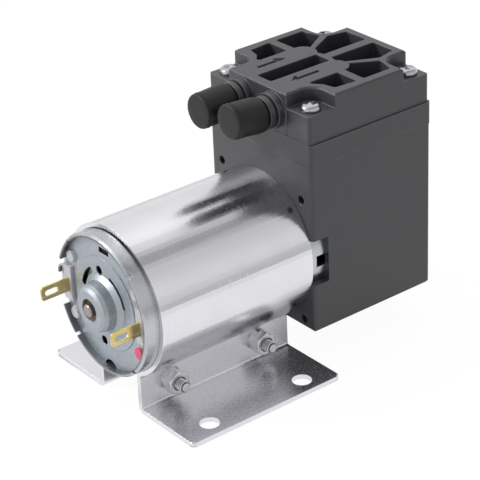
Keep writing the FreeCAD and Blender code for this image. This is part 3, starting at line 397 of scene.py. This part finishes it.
def plain_steel(name):
    finish = Finish(name)
    patches = finish.noise(0.0025, 3.0)
    lines = finish.noise(0.0003, 3.0, 0.65, finish.stretch(1.0, 0.15, 1.0))
    clean = finish.steps(finish.along("X") - CLEAN_FROM, (0.0, 0.0), (0.0001, 1.0))
    sideways = finish.along("Y")
    sideways = sideways.maths("ABSOLUTE", sideways) - BOLT_SPACING * MM
    from_bolt = finish.node("CombineXYZ", None, [0.0, sideways, finish.along("Z") - BOLT_HEIGHT * MM])
    from_bolt = finish.node("VectorMath", {"operation": "LENGTH"}, [from_bolt], "Value") * (0.25 / MM)
    past_end = (finish.along("X") - BOLT_END) * (1.0 / MM) + 0.5
    end_face = finish.steps(past_end, (0.4, 0.0), (0.45, 1.0))
    # Painted shade: a dark tint in the thread's roots and in the countersunk ring, on the nut side
    # only.
    painted_thread_shade = finish.steps(from_bolt, (0.3, 1.0), (0.345, 0.0), (0.375, 0.0), (0.39, 1.0), (0.44, 1.0),
                        (0.47, 0.0)) * (1.0 - end_face) * clean
    tint = finish.blend(patches, tone(196, 196, 199), tone(240, 240, 242))
    tint = finish.blend(painted_thread_shade * 0.85, tint, tone(52, 50, 50))
    tint = finish.blend(clean, tone(158, 148, 146), tint)
    finish.set(base_color=tint, metallic=0.8, roughness=(lines - 0.5) * 0.12 + patches * 0.1 + 0.26,
               normal=finish.bump(lines, 4e-6, finish.soft_edges(BROKEN_EDGE)))
    return finish.material


looks["plain_steel"] = plain_steel("plain_steel")
print("bolts end at", round(BOLT_END / MM, 2), "mm")

# %% [markdown]
# The clamp is one sheet of bright steel. Rolling leaves a faint ripple round the sleeve, which
# breaks up what it mirrors, and handling leaves speckles and patches of hair-fine scratches. The
# feet are duller than the sleeve, because only the sleeve was polished.

# %% Rolled sheet of the clamp
POLISHED_FROM, DULL_BELOW = 12.0 * MM, 8.0 * MM
STEEL = tone(226, 226, 230)


def rolled_sheet(name):
    finish = Finish(name)
    patches = finish.noise(0.009, 2.0)
    grain = finish.noise(0.00035, 3.0, 0.7, finish.stretch(1.0, 0.25, 1.0))
    ripple = finish.noise(0.0007, 2.0, 0.55, finish.stretch(0.3, 1.3, 0.3))
    hairs = finish.noise(0.0005, 2.0, 0.6, finish.stretch(0.12, 1.6, 0.12))
    worn = finish.steps(finish.noise(0.012, 2.0), (0.5, 0.0), (0.62, 1.0))
    specks = finish.steps(finish.noise(0.0006, 1.0), (0.7, 0.0), (0.76, 1.0))
    scratches = finish.steps(hairs, (0.56, 0.0), (0.66, 1.0)) * worn
    height = (finish.along("Z") - DULL_BELOW) * (1.0 / (POLISHED_FROM - DULL_BELOW))
    dull = finish.steps(height, (0.0, 1.0), (1.0, 0.0))
    tint = finish.blend(patches, dim(STEEL, 0.95), dim(STEEL, 1.04))
    rough = grain * 0.08 + scratches * 0.14 + specks * 0.12 + dull * 0.07 + 0.16
    waves = finish.bump(ripple * (1.0 - dull * 0.9), 1.4e-5, finish.soft_edges(0.0002))
    marks = (grain * 0.35 + scratches * 0.6) * (1.0 - dull * 0.7) + specks * 0.5
    finish.set(base_color=tint, metallic=1.0, roughness=rough,
               normal=finish.bump(marks, 3e-6, waves))
    return finish.material


looks["sheet_steel"] = rolled_sheet("sheet_steel")
print(len(looks), "metals so far")

# %% [markdown]
# The motor can is deep drawn and plated. It has a mottled shine. Its rim is a thin bright line,
# because the sheet is rounded off towards its inside, whose wall is painted dark as shade. Where the
# can goes into the clamp, the shadow in the gap is painted as a dark band along the top.

# %% Deep drawn motor can
RIM_INSIDE, CAN_OUTSIDE = 17.2 * MM, 17.75 * MM
CLAMP_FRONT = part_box("clamp_bracket")[0].y


def drawn_can(name):
    finish = Finish(name)
    mottle = finish.noise(0.0016, 2.0, 0.5)
    patches = finish.noise(0.006, 2.0)
    centred = finish.node("Mapping", None, {"Vector": finish.place, "Location": (0.0, 0.0, -AXIS.z),
                                            "Scale": (1.0, 0.0, 1.0)})
    radius = finish.node("VectorMath", {"operation": "LENGTH"}, [centred], "Value")
    # Painted shade: inside the rim the wall is tinted dark; it is also rougher there.
    inside = finish.steps((radius - RIM_INSIDE) * (1.0 / MM) + 0.5, (0.3, 1.0), (0.6, 0.0))
    into_clamp = (finish.along("Y") - CLAMP_FRONT) * (1.0 / MM) + 1.0
    upper = finish.steps((finish.along("Z") - AXIS.z) * (1.0 / CAN_OUTSIDE), (0.5, 0.0), (0.95, 1.0))
    # Painted shadow: a dark band along the top, where the can goes into the clamp.
    painted_gap_shadow = finish.steps(into_clamp, (0.4, 0.0), (0.7, 1.0)) * upper
    tint = finish.blend(patches * 0.6 + mottle * 0.4, tone(168, 171, 177), tone(206, 208, 212))
    tint = finish.blend(inside * 0.7, tint, tone(78, 80, 84))
    tint = finish.blend(painted_gap_shadow, tint, tone(24, 24, 26))
    finish.set(base_color=tint, metallic=1.0, roughness=(mottle - 0.5) * 0.2 + inside * 0.2 + 0.27,
               normal=finish.bump(mottle, 2e-5, finish.soft_edges(0.00025)))
    return finish.material


looks["can_steel"] = drawn_can("can_steel")
print("the clamp begins at", round(CLAMP_FRONT / MM, 1), "mm")

# %% [markdown]
# The end plate is zinc plated and passivated, which gives it a matt blue grey with fine spangle.
# No light comes back out of its slots, so their walls are painted nearly black as shade. The
# terminals are stamped from brass, with a crease along them that stiffens the tab; a pale tint
# along the crease is a painted highlight.

# %% Plated end plate and brass
PLATE_RECESS = 1.3
PLATE_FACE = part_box("motor_can")[0].y + PLATE_RECESS * MM


def zinc(name):
    finish = Finish(name)
    spangle = finish.noise(0.0009, 3.0, 0.6)
    patches = finish.noise(0.006, 2.0)
    tint = finish.blend(spangle, tone(140, 147, 155), tone(182, 189, 196))
    tint = finish.blend(patches * 0.4, tint, tone(176, 181, 186))
    inward = (finish.along("Y") - PLATE_FACE) * (1.0 / MM)
    # Painted shade: past the plate face the slot walls are tinted nearly black.
    tint = finish.blend(finish.steps(inward, (0.28, 0.0), (0.34, 1.0)), tint, tone(16, 16, 17))
    finish.set(base_color=tint, metallic=0.85, roughness=(spangle - 0.5) * 0.2 + 0.46,
               normal=finish.bump(spangle, 6e-6, finish.soft_edges(0.0002)))
    return finish.material


CREASE = 26.15 * MM


def stamped_brass(name):
    finish = Finish(name)
    patches = finish.noise(0.003, 3.0)
    lines = finish.noise(0.0003, 3.0, 0.65, finish.stretch(1.0, 0.3, 1.0))
    from_crease = (finish.along("Z") - CREASE) * (1.0 / MM)
    crease_and_highlight = finish.steps(from_crease.maths("ABSOLUTE", from_crease), (0.06, 1.0), (0.2, 0.0))
    tint = finish.blend(patches, tone(200, 178, 100), tone(236, 214, 150))
    # Painted highlight: the crease is tinted pale in place of its glint; the bump gives its shape.
    tint = finish.blend(crease_and_highlight * 0.9, tint, tone(246, 236, 212))
    finish.set(base_color=tint, metallic=1.0, roughness=(lines - 0.5) * 0.1 + 0.34,
               normal=finish.bump(crease_and_highlight + lines * 0.04, 8e-5, finish.soft_edges(0.00015)))
    return finish.material


looks["zinc_plate"] = zinc("zinc_plate")
looks["brass"] = stamped_brass("brass")
print(len(looks), "metals so far")

# %% [markdown]
# ## Plastics and rubber
#
# The pump head is moulded in black plastic. Its skin scatters light a little, so it looks dark grey
# where it faces the lamps, and its edges are painted paler, as wear from rubbing and as painted
# highlight. The rubber is duller still, with dust that catches on it.

# %% Moulded plastic, rubber and the other dull materials
JOINT_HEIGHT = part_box("valve_plate")[1].z


def moulded(name, dark, light, rough, skin=0.00022, depth=6e-6, edge=0.0003, dust=0.0, rubbed_and_highlit=0.0,
            shine=0.5):
    """A moulded skin: fine crackle, slow flow marks, rounded edges painted paler as wear and
    highlight.
    """
    finish = Finish(name)
    crackle = finish.noise(skin, 2.0, 0.6)
    flow = finish.noise(0.007, 2.0)
    tint = finish.blend(flow * 0.6 + crackle * 0.4, dark, light)
    if rubbed_and_highlit:
        # Painted highlight and wear: the edges are tinted paler, where they catch light and where
        # they wear.
        tint = finish.blend(finish.edge_mask(edge) * rubbed_and_highlit, tint, tone(128, 129, 132))
    if dust:
        lint = finish.steps(finish.noise(0.0009, 3.0, 0.7), (0.62, 0.0), (0.8, 1.0))
        tint = finish.blend(lint * dust, tint, tone(150, 150, 150))
    joint = finish.along("Z") - JOINT_HEIGHT
    joint = finish.steps(joint.maths("ABSOLUTE", joint) * (1.0 / MM), (0.35, 1.0), (0.6, 0.0))
    rounded = finish.mixed(joint, finish.soft_edges(edge), finish.node("NewGeometry", out="Normal"))
    finish.set(base_color=tint, roughness=(crackle - 0.5) * 0.16 + (flow - 0.5) * 0.08 + rough,
               specular_ior_level=shine, normal=finish.bump(crackle, depth, rounded))
    return finish.material


looks["black_plastic"] = moulded("black_plastic", tone(50, 51, 54), tone(62, 63, 67), 0.42,
                                 edge=0.00045, rubbed_and_highlit=0.5, shine=0.62)
looks["black_rubber"] = moulded("black_rubber", tone(20, 20, 21), tone(28, 28, 30), 0.52,
                                0.0003, 5e-6, 0.0002, 0.08, shine=0.36)
looks["carbon"] = moulded("carbon", tone(36, 36, 38), tone(56, 56, 58), 0.6, 0.0001, 8e-6)
looks["ferrite"] = moulded("ferrite", tone(58, 58, 62), tone(84, 84, 88), 0.6, 0.0003, 12e-6)
print(len(looks), "finishes so far")

# %% [markdown]
# The brush holder is a milky white moulding. One of its rivets carries a dab of red paint, which
# marks the positive terminal. Copper wire is lacquered, so it is coated and redder than bare metal.

# %% White plastic with its red dot, and wound copper
RED_DOT, DOT_RADIUS = Vector((13.1, -25.2, 19.7)) * MM, 1.65 * MM


def white_plastic(name):
    finish = Finish(name)
    crackle = finish.noise(0.0005, 2.0)
    reach = finish.node("VectorMath", {"operation": "DISTANCE"}, [finish.place, RED_DOT], "Value")
    ragged = (finish.noise(0.0008, 2.0) - 0.5) * 0.0006 + reach
    dab = finish.steps(ragged * (0.5 / DOT_RADIUS), (0.47, 1.0), (0.53, 0.0))
    milk = finish.blend(crackle, tone(170, 172, 178), tone(190, 192, 196))
    finish.set(base_color=finish.blend(dab, milk, tone(214, 70, 110)), subsurface_weight=0.35,
               subsurface_scale=0.0015, roughness=(crackle - 0.5) * 0.1 + 0.38,
               normal=finish.bump(crackle, 5e-6, finish.soft_edges(0.0002)))
    return finish.material


def wound_copper(name):
    """Enamelled wire laid in rows along the armature slots."""
    finish = Finish(name)
    rows = finish.node("TexWave", {"bands_direction": "X"},
                       {"Vector": finish.stretch(y=0.2), "Scale": 600.0, "Distortion": 1.0}, "Fac")
    tint = finish.blend(rows, tone(120, 58, 30), tone(196, 112, 66))
    finish.set(base_color=tint, metallic=0.9, coat_weight=0.6, roughness=0.3 - rows * 0.06,
               normal=finish.bump(rows, 0.00008))
    return finish.material


looks["white_plastic"] = white_plastic("white_plastic")
looks["copper"] = wound_copper("copper")
print(len(looks), "finishes")

# %% [markdown]
# ## Hand the finishes to the CAD nodes
#
# The record says which finish each node is made of. A node's mesh stays as it is and only its
# material slot is filled.

# %% Dress the nodes
made_of = {entry["node"]: entry["material_slot"] for entry in frame["record"]["subparts"]}
for name, node in frame["nodes"].items():
    node.data.materials.clear()
    node.data.materials.append(looks[made_of[name]])
print(len(made_of), "nodes in", len(set(made_of.values())), "finishes")

# %% [markdown]
# ## Tools for turned pieces
#
# Screws, nuts and caps are round, so each is drawn in millimetres about an upright axis, as on a
# lathe, and then laid where its CAD node is. One helper spins a half section. The other draws an
# open round edge on from station to station, a pair of radius and height each. A station may also
# be worked out from the angle, which is how a round edge becomes a hexagon.

# %% Spin a half section, or draw an edge on
def spun(section, steps=64):
    """A half section, given as pairs of radius and height, turned once round."""
    bm = bmesh.new()
    line = [bm.verts.new((radius, 0.0, height)) for radius, height in section]
    edges = [bm.edges.new(pair) for pair in zip(line, line[1:])]
    bmesh.ops.spin(bm, geom=line + edges, cent=(0, 0, 0), axis=(0, 0, 1), angle=math.tau, steps=steps,
                   use_merge=True)
    return bm


def at_angle(value, vert):
    return value(math.atan2(vert.co.y, vert.co.x)) if callable(value) else value


def drawn_on(bm, edges, *stations):
    """Draw an open round edge on through stations of radius and height."""
    for radius, height in stations:
        made = bmesh.ops.extrude_edge_only(bm, edges=edges)["geom"]
        fresh = {part for part in made if isinstance(part, bmesh.types.BMVert)}
        edges = [part for part in made
                 if isinstance(part, bmesh.types.BMEdge) and set(part.verts) <= fresh]
        for vert in fresh:
            flat = vert.co.xy.normalized() * at_angle(radius, vert)
            vert.co = (flat.x, flat.y, at_angle(height, vert))
    return edges


print("drawn in millimetres, laid in metres at the end")

# %% [markdown]
# Each finished mesh is merged, its faces are turned outwards, and its edges are shaded smooth but
# for the sharp ones. Then it gets its finish, its body and the node that it stands for.

# %% Lay copies, and finish a piece
def facing(place, direction, spin=0.0):
    """A matrix that stands an upright piece at a place with its axis along a direction."""
    lie = Vector(direction).to_track_quat("Z", "Y").to_matrix().to_4x4()
    return Matrix.Translation(place) @ lie @ Matrix.Rotation(math.radians(spin), 4, "Z")


def laid(bm, *places):
    """Copies of one mesh at several places, joined in one."""
    single = bpy.data.meshes.new("single")
    bm.to_mesh(single)
    bm.free()
    together = bmesh.new()
    for place in places:
        before = len(together.verts)
        together.from_mesh(single)
        together.verts.ensure_lookup_table()
        bmesh.ops.transform(together, matrix=place, verts=together.verts[before:])
    bpy.data.meshes.remove(single)
    return together


def finished(name, bm, body, look, sharp=35.0, soft=0.0):
    """Close a mesh and make it the piece that stands for the node of the same name."""
    bmesh.ops.remove_doubles(bm, verts=bm.verts, dist=0.002)
    bmesh.ops.recalc_face_normals(bm, faces=bm.faces)
    bmesh.ops.scale(bm, verts=bm.verts, vec=(MM, MM, MM))
    mesh = bpy.data.meshes.new(name + "_piece")
    bm.to_mesh(mesh)
    bm.free()
    mesh.polygons.foreach_set("use_smooth", [True] * len(mesh.polygons))
    mesh.set_sharp_from_angle(angle=math.radians(sharp))
    mesh.materials.append(looks[look])
    piece = bpy.data.objects.new(name + "_piece", mesh)
    bpy.context.scene.collection.objects.link(piece)
    if soft:
        rounding = piece.modifiers.new("rounding", "BEVEL")
        rounding.width, rounding.segments = soft * MM, 3
        rounding.limit_method, rounding.angle_limit = "ANGLE", math.radians(sharp)
    flatten = piece.modifiers.new("flat_faces", "WEIGHTED_NORMAL")
    flatten.keep_sharp = True
    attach(piece, body)
    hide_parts(name)
    print(name, len(mesh.polygons), "faces")


def corners(name):
    """Lowest and highest corner of a CAD node, in millimetres."""
    low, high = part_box(name)
    return low / MM, high / MM


FOUR = [(x, y) for x in (0, 1) for y in (0, 1)]
print("helpers ready")

# %% [markdown]
# ## The fold of the clamp
#
# The CAD sheet turns from flange to foot in an easy curve. On the real clamp the fold is tight and
# shows as one crisp line. This piece is a copy of the CAD sheet with its fold drawn in: each point
# of the old curve keeps its angle, and moves to a smaller radius about a nearer centre. The flats
# on both sides only grow longer.

# %% Draw the fold in
EASY_FOLD, TIGHT_FOLD = 2.0, 0.6
GAUGE, FLANGE_FACE = 1.2, 8.3
bracket = bmesh.new()
bracket.from_mesh(frame["nodes"]["clamp_bracket"].data)
bmesh.ops.scale(bracket, verts=bracket.verts, vec=(1 / MM, 1 / MM, 1 / MM))
easy_centre, tight_centre = [Vector((FLANGE_FACE + fold, GAUGE + fold))
                             for fold in (EASY_FOLD, TIGHT_FOLD)]
drawn_in = 0
for vert in bracket.verts:
    arm = Vector((abs(vert.co.x), vert.co.z)) - easy_centre
    if max(arm) < 0.01:
        place = tight_centre + arm.normalized() * (arm.length - EASY_FOLD + TIGHT_FOLD)
        vert.co.x, vert.co.z = math.copysign(place.x, vert.co.x), place.y
        drawn_in += 1
print(drawn_in, "points of the fold moved")
finished("clamp_bracket", bracket, "pump_body", "sheet_steel", 30.0)

# %% [markdown]
# ## Screws with a cross recess
#
# Four bright pan heads hold the top cover, and four smaller ones the rear cover. A disc is cut along
# eight straight lines, so that the faces between them form a cross. Those faces are pushed down and
# drawn in, which gives the recess its slanting walls, and the disc's rim is drawn on round the head
# and down the shank.

# %% Make the pan head screws
def pan_head(head, height, shank, length):
    """A screw with its seat at height 0: the head above, the shank below."""
    bm = bmesh.new()
    crown, arm, half = 0.62 * head, 0.5 * head, 0.1 * head
    bmesh.ops.create_circle(bm, cap_ends=True, segments=32, radius=crown)
    for offset in (-arm, -half, half, arm):
        for normal in (Vector((1, 0, 0)), Vector((0, 1, 0))):
            bmesh.ops.bisect_plane(bm, geom=bm.verts[:] + bm.edges[:] + bm.faces[:],
                                   plane_co=normal * offset, plane_no=normal)
    for vert in bm.verts:
        vert.co.z = height * (1.0 - 0.16 * (vert.co.xy.length / crown) ** 2)
    rim = [edge for edge in bm.edges if edge.is_boundary]
    cross = []
    for face in bm.faces:
        narrow, wide = sorted(abs(value) for value in face.calc_center_median().xy)
        if narrow < half and wide < arm:
            cross.append(face)
    made = bmesh.ops.extrude_face_region(bm, geom=cross)["geom"]
    bottom = [part for part in made if isinstance(part, bmesh.types.BMVert)]
    for vert in bottom:
        vert.co = (vert.co.x * 0.66, vert.co.y * 0.66, height * 0.42)
    end = drawn_on(bm, rim, (0.76 * head, 0.78 * height), (0.86 * head, 0.68 * height),
                   (0.94 * head, 0.55 * height), (0.985 * head, 0.42 * height), (head, 0.28 * height),
                   (head, 0.08 * height), (0.96 * head, 0.0), (shank, 0.0), (shank, -length))
    bmesh.ops.holes_fill(bm, edges=end)
    return bm


def four_screws(name, head, height, shank, turns, up):
    """A screw in each corner of a CAD node. up is the number of the axis that the heads face."""
    low, high = corners(name)
    across, along = [axis for axis in range(3) if axis != up]
    places = []
    for turned, (far_across, far_along) in zip(turns, FOUR):
        spot = Vector()
        spot[across] = (low[across] + head, high[across] - head)[far_across]
        spot[along] = (low[along] + head, high[along] - head)[far_along]
        spot[up] = high[up] - height
        places.append(facing(spot, [float(axis == up) for axis in range(3)], turned))
    screw = pan_head(head, height, shank, high[up] - height - low[up])
    finished(name, laid(screw, *places), "pump_body", "bright_steel")


four_screws("cover_screws", 2.45, 1.9, 1.25, (12.0, 35.0, -20.0, 50.0), up=2)
four_screws("rear_cover_screws", 1.6, 1.1, 1.0, (5.0, 70.0, 28.0, -15.0), up=1)

# %% [markdown]
# ## Clamp bolts, washers and nuts
#
# The nuts are on the camera's side, with a few turns of real thread beyond them. A thread is one
# zigzag line, spun once round while it climbs by one pitch, so that each turn closes on the next.
# Two planes cut the rod to length, a little longer than the CAD bolt, as the photograph shows it.

# %% Cut a thread
BOLT_RADIUS, PITCH, THREAD_DEPTH, THREAD_STEPS = 1.5, 0.6, 0.5, 24
TIP_CHAMFER = 0.45


def threaded_rod(radius, start, end):
    """A threaded rod from start to end along its axis, with a chamfered tip."""
    bm = bmesh.new()
    root, turns = radius - THREAD_DEPTH, int((end - start) / PITCH) + 3
    line = []
    for k in range(turns):
        foot = start + (k - 1.5) * PITCH
        for reach, rise in ((root, 0.0), (radius, 0.42), (radius, 0.58)):
            line.append(bm.verts.new((reach, 0.0, foot + rise * PITCH)))
    edges = [bm.edges.new(pair) for pair in zip(line, line[1:])]
    bmesh.ops.spin(bm, geom=line + edges, cent=(0, 0, 0), axis=(0, 0, 1), angle=math.tau,
                   dvec=(0, 0, PITCH / THREAD_STEPS), steps=THREAD_STEPS)
    bmesh.ops.remove_doubles(bm, verts=bm.verts, dist=0.002)
    for height, outward in ((start, -1), (end, 1)):
        everything = bm.verts[:] + bm.edges[:] + bm.faces[:]
        cut = bmesh.ops.bisect_plane(bm, geom=everything, plane_co=(0, 0, height),
                                     plane_no=(0, 0, outward), clear_outer=True)["geom_cut"]
        rim = [part for part in cut if isinstance(part, bmesh.types.BMEdge)]
        bmesh.ops.contextual_create(bm, geom=rim)
    for vert in bm.verts:
        limit = radius - max(0.0, vert.co.z - end + TIP_CHAMFER)
        if vert.co.xy.length > limit:
            vert.co.xy = vert.co.xy.normalized() * limit
    return bm


print("pitch", PITCH, "mm")

# %% Turn a hexagon
NUT_FLATS, COUNTERSINK, HEAD_THICK = 5.5, 0.28, 2.0


def hex_reach(flats):
    """How far a hexagon reaches at an angle, with flats at angle 0."""
    def reach(angle):
        return flats / 2 / math.cos((angle + math.pi / 6) % (math.pi / 3) - math.pi / 6)
    return reach


def hex_piece(flats, height, bore):
    """A chamfered nut; a bore of 0 makes it a bolt head."""
    bm = bmesh.new()
    reach, round_face = hex_reach(flats), flats * 0.47

    def low_chamfer(angle):
        return (reach(angle) - round_face) * 0.55

    def high_chamfer(angle):
        return height - low_chamfer(angle)

    start = bore + COUNTERSINK if bore else round_face * 0.5
    bmesh.ops.create_circle(bm, cap_ends=not bore, segments=72, radius=start)
    top = drawn_on(bm, bm.edges[:], (round_face, 0.0), (reach, low_chamfer), (reach, high_chamfer),
                   (round_face, height), (start, height))
    if bore:
        drawn_on(bm, top, (bore, height - COUNTERSINK), (bore, COUNTERSINK), (start, 0.0))
    else:
        bmesh.ops.contextual_create(bm, geom=top)
    return bm


def on_bolts(bm, start, spins):
    """A piece on each of the two bolts, from start on along X."""
    return laid(bm, *[facing((start, y, BOLT_HEIGHT), (1, 0, 0), spin)
                      for y, spin in zip((-BOLT_SPACING, BOLT_SPACING), spins)])


low, high = corners("clamp_nuts")
nuts = on_bolts(hex_piece(NUT_FLATS, high.x - low.x, BOLT_RADIUS), low.x, (4.0, -7.0))
finished("clamp_nuts", nuts, "pump_body", "plain_steel", 20.0)

# %% Bolts with their heads, and split spring washers
low, high = corners("clamp_bolts")
bolt = threaded_rod(BOLT_RADIUS, 0.0, high.x - low.x + LONGER)
head = hex_piece(NUT_FLATS, HEAD_THICK, 0.0)
head_mesh = bpy.data.meshes.new("head")
head.to_mesh(head_mesh)
head.free()
bolt.from_mesh(head_mesh)
bpy.data.meshes.remove(head_mesh)
finished("clamp_bolts", on_bolts(bolt, low.x, (0.0, 0.0)), "pump_body", "plain_steel", 20.0)

SPLIT, LIFT, WASHER_STEPS = 12.0, 0.12, 40
WASHER_INSIDE, WASHER_OUTSIDE = 1.55, 2.7
low, high = corners("clamp_washers")
thick = high.x - low.x - LIFT
washer = bmesh.new()
section = [washer.verts.new((radius, 0.0, height)) for radius, height in
           ((WASHER_INSIDE, 0.0), (WASHER_OUTSIDE, 0.0),
            (WASHER_OUTSIDE, thick), (WASHER_INSIDE, thick))]
face = washer.faces.new(section)
bmesh.ops.spin(washer, geom=section + face.edges[:] + [face], cent=(0, 0, 0), axis=(0, 0, 1),
               angle=math.radians(360.0 - SPLIT), dvec=(0, 0, LIFT / WASHER_STEPS),
               steps=WASHER_STEPS)
finished("clamp_washers", on_bolts(washer, low.x, (60.0, 100.0)), "pump_body", "plain_steel", 30.0)

# %% [markdown]
# ## Rubber caps
#
# Each port is closed by a pushed-on rubber cap: a crowned closed end, a thin mould line just behind
# it, and a rounded mouth. Only the end beyond the spigot can sag, so the outer skin is sheared a
# little while the bore stays round the spigot. The outlet cap lifts its nose, the inlet cap droops.

# %% Turn the caps
CAP_RADIUS, BORE, MOULD_LINE, FLARE = 4.3, 3.04, 1.3, 0.1
SPIGOT_END = 11.0
lifts = {"inlet_cap": -0.35, "outlet_cap": 0.85}
for name, lift in lifts.items():
    low, high = corners(name)
    length, floor_of_bore = high.y - low.y, SPIGOT_END - low.y
    cap = spun([(0.0, 0.0), (2.4, 0.01), (3.8, 0.04), (4.05, 0.1), (4.2, 0.24), (CAP_RADIUS, 0.5),
                (CAP_RADIUS, MOULD_LINE - 0.14), (CAP_RADIUS + FLARE, MOULD_LINE),
                (CAP_RADIUS, MOULD_LINE + 0.14), (CAP_RADIUS + FLARE, length - 2.5),
                (CAP_RADIUS + 0.08, length - 1.0), (CAP_RADIUS - 0.1, length - 0.35),
                (CAP_RADIUS - 0.5, length), (BORE + 0.2, length), (BORE, length - 0.2),
                (BORE, floor_of_bore), (0.0, floor_of_bore)], 72)
    for vert in cap.verts:
        if vert.co.xy.length > BORE + 0.1 or vert.co.z < 0.5:
            vert.co.y += lift * (1.0 - vert.co.z / length)
    middle = ((low.x + high.x) / 2, low.y, (low.z + high.z) / 2)
    finished(name, laid(cap, facing(middle, (0, 1, 0))), name, "black_rubber", 50.0)

# %% [markdown]
# ## Soft parts inside the head
#
# The diaphragm is a rubber disc with a rolled bead between its clamped rim and its centre. The two
# valves are rubber mushrooms whose thin caps lie on the plate. All are spun. They are out of sight
# in the assembled pump, but they show as soon as the cover is taken off.

# %% Diaphragm
low, high = corners("diaphragm")
FLEX_OUT, FLEX_IN, HOLE, THICK, ROUND = 12.5, 9.0, 1.5, 1.2, 0.15
ROLL_STEPS, BULGE, THINNING = 8, 0.25, 0.45
rim, rise = (high.x - low.x) / 2, high.z - low.z - THICK
under, over = [], []
for share in [step / ROLL_STEPS for step in range(ROLL_STEPS + 1)]:
    reach = FLEX_IN + (FLEX_OUT - FLEX_IN) * share
    swell = math.sin(math.pi * share)
    level = rise * share * share * (3 - 2 * share) + BULGE * swell
    under.append((reach, level))
    over.append((reach, level + THICK - THINNING * swell))
top = rise + THICK
edge = [(rim - ROUND, rise), (rim, rise + ROUND), (rim, top - ROUND), (rim - ROUND, top)]
section = [(HOLE, 0.0)] + under + edge + over[::-1] + [(HOLE, THICK), (HOLE, 0.0)]
middle = ((low.x + high.x) / 2, (low.y + high.y) / 2, low.z)
finished("diaphragm", laid(spun(section), facing(middle, (0, 0, 1))), "pump_body", "black_rubber")

# %% Umbrella valves
for name, way in (("inlet_valve", -1), ("outlet_valve", 1)):
    low, high = corners(name)
    tall, wide = high.z - low.z, (high.x - low.x) / 2
    mushroom = spun([(0.0, 0.0), (0.5, 0.03), (0.85, 0.35), (0.85, 0.6), (0.6, 0.9),
                     (0.6, tall - 0.48), (wide * 0.7, tall - 0.5), (wide, tall - 0.6),
                     (wide - 0.02, tall - 0.44), (wide * 0.7, tall - 0.16), (0.0, tall)], 40)
    middle = ((low.x + high.x) / 2, (low.y + high.y) / 2, low.z if way > 0 else high.z)
    finished(name, laid(mushroom, facing(middle, (0, 0, way))), "pump_body", "black_rubber")

# %% [markdown]
# The seal under the cover is a flat frame with one bar across it. A grid of two faces is inset, the
# two inner faces are taken out, and what is left is pulled up to its thickness and rounded.

# %% Cover seal
low, high = corners("cover_seal")
SEAL_WIDTH, SEAL_ROUND = 1.2, 0.2
seal = bmesh.new()
bmesh.ops.create_grid(seal, x_segments=2, y_segments=1, size=0.5)
bmesh.ops.scale(seal, verts=seal.verts, vec=(high.x - low.x, high.y - low.y, 1.0))
bmesh.ops.translate(seal, verts=seal.verts, vec=((low.x + high.x) / 2, (low.y + high.y) / 2, low.z))
for face in seal.faces[:]:
    bar_side = math.copysign(1.0, face.calc_center_median().x)
    bmesh.ops.inset_individual(seal, faces=[face], thickness=SEAL_WIDTH)
    for vert in face.verts:
        if abs(vert.co.x) < SEAL_WIDTH * 1.5:
            vert.co.x = bar_side * SEAL_WIDTH / 2
    seal.faces.remove(face)
raised = bmesh.ops.extrude_face_region(seal, geom=seal.faces[:], use_keep_orig=True)["geom"]
bmesh.ops.translate(seal, verts=[part for part in raised if isinstance(part, bmesh.types.BMVert)],
                    vec=(0, 0, high.z - low.z))
finished("cover_seal", seal, "pump_body", "black_rubber", soft=SEAL_ROUND)

# %% [markdown]
# ## Bearing balls
#
# The CAD file keeps the nine balls of the crank bearing as rolls with their ends turned down. Here
# they are round.

# %% Nine balls
BALLS, BALL_CIRCLE, BALL_RADIUS = 9, 4.75, 0.95
low, high = corners("bearing_outer_ring")
middle = (low + high) / 2
balls = bmesh.new()
bmesh.ops.create_icosphere(balls, subdivisions=3, radius=BALL_RADIUS)
ring = [Matrix.Translation(middle + Vector((math.sin(a), 0, math.cos(a))) * BALL_CIRCLE)
        for a in [math.tau * k / BALLS for k in range(BALLS)]]
finished("bearing_balls", laid(balls, *ring), "rod", "bright_steel")
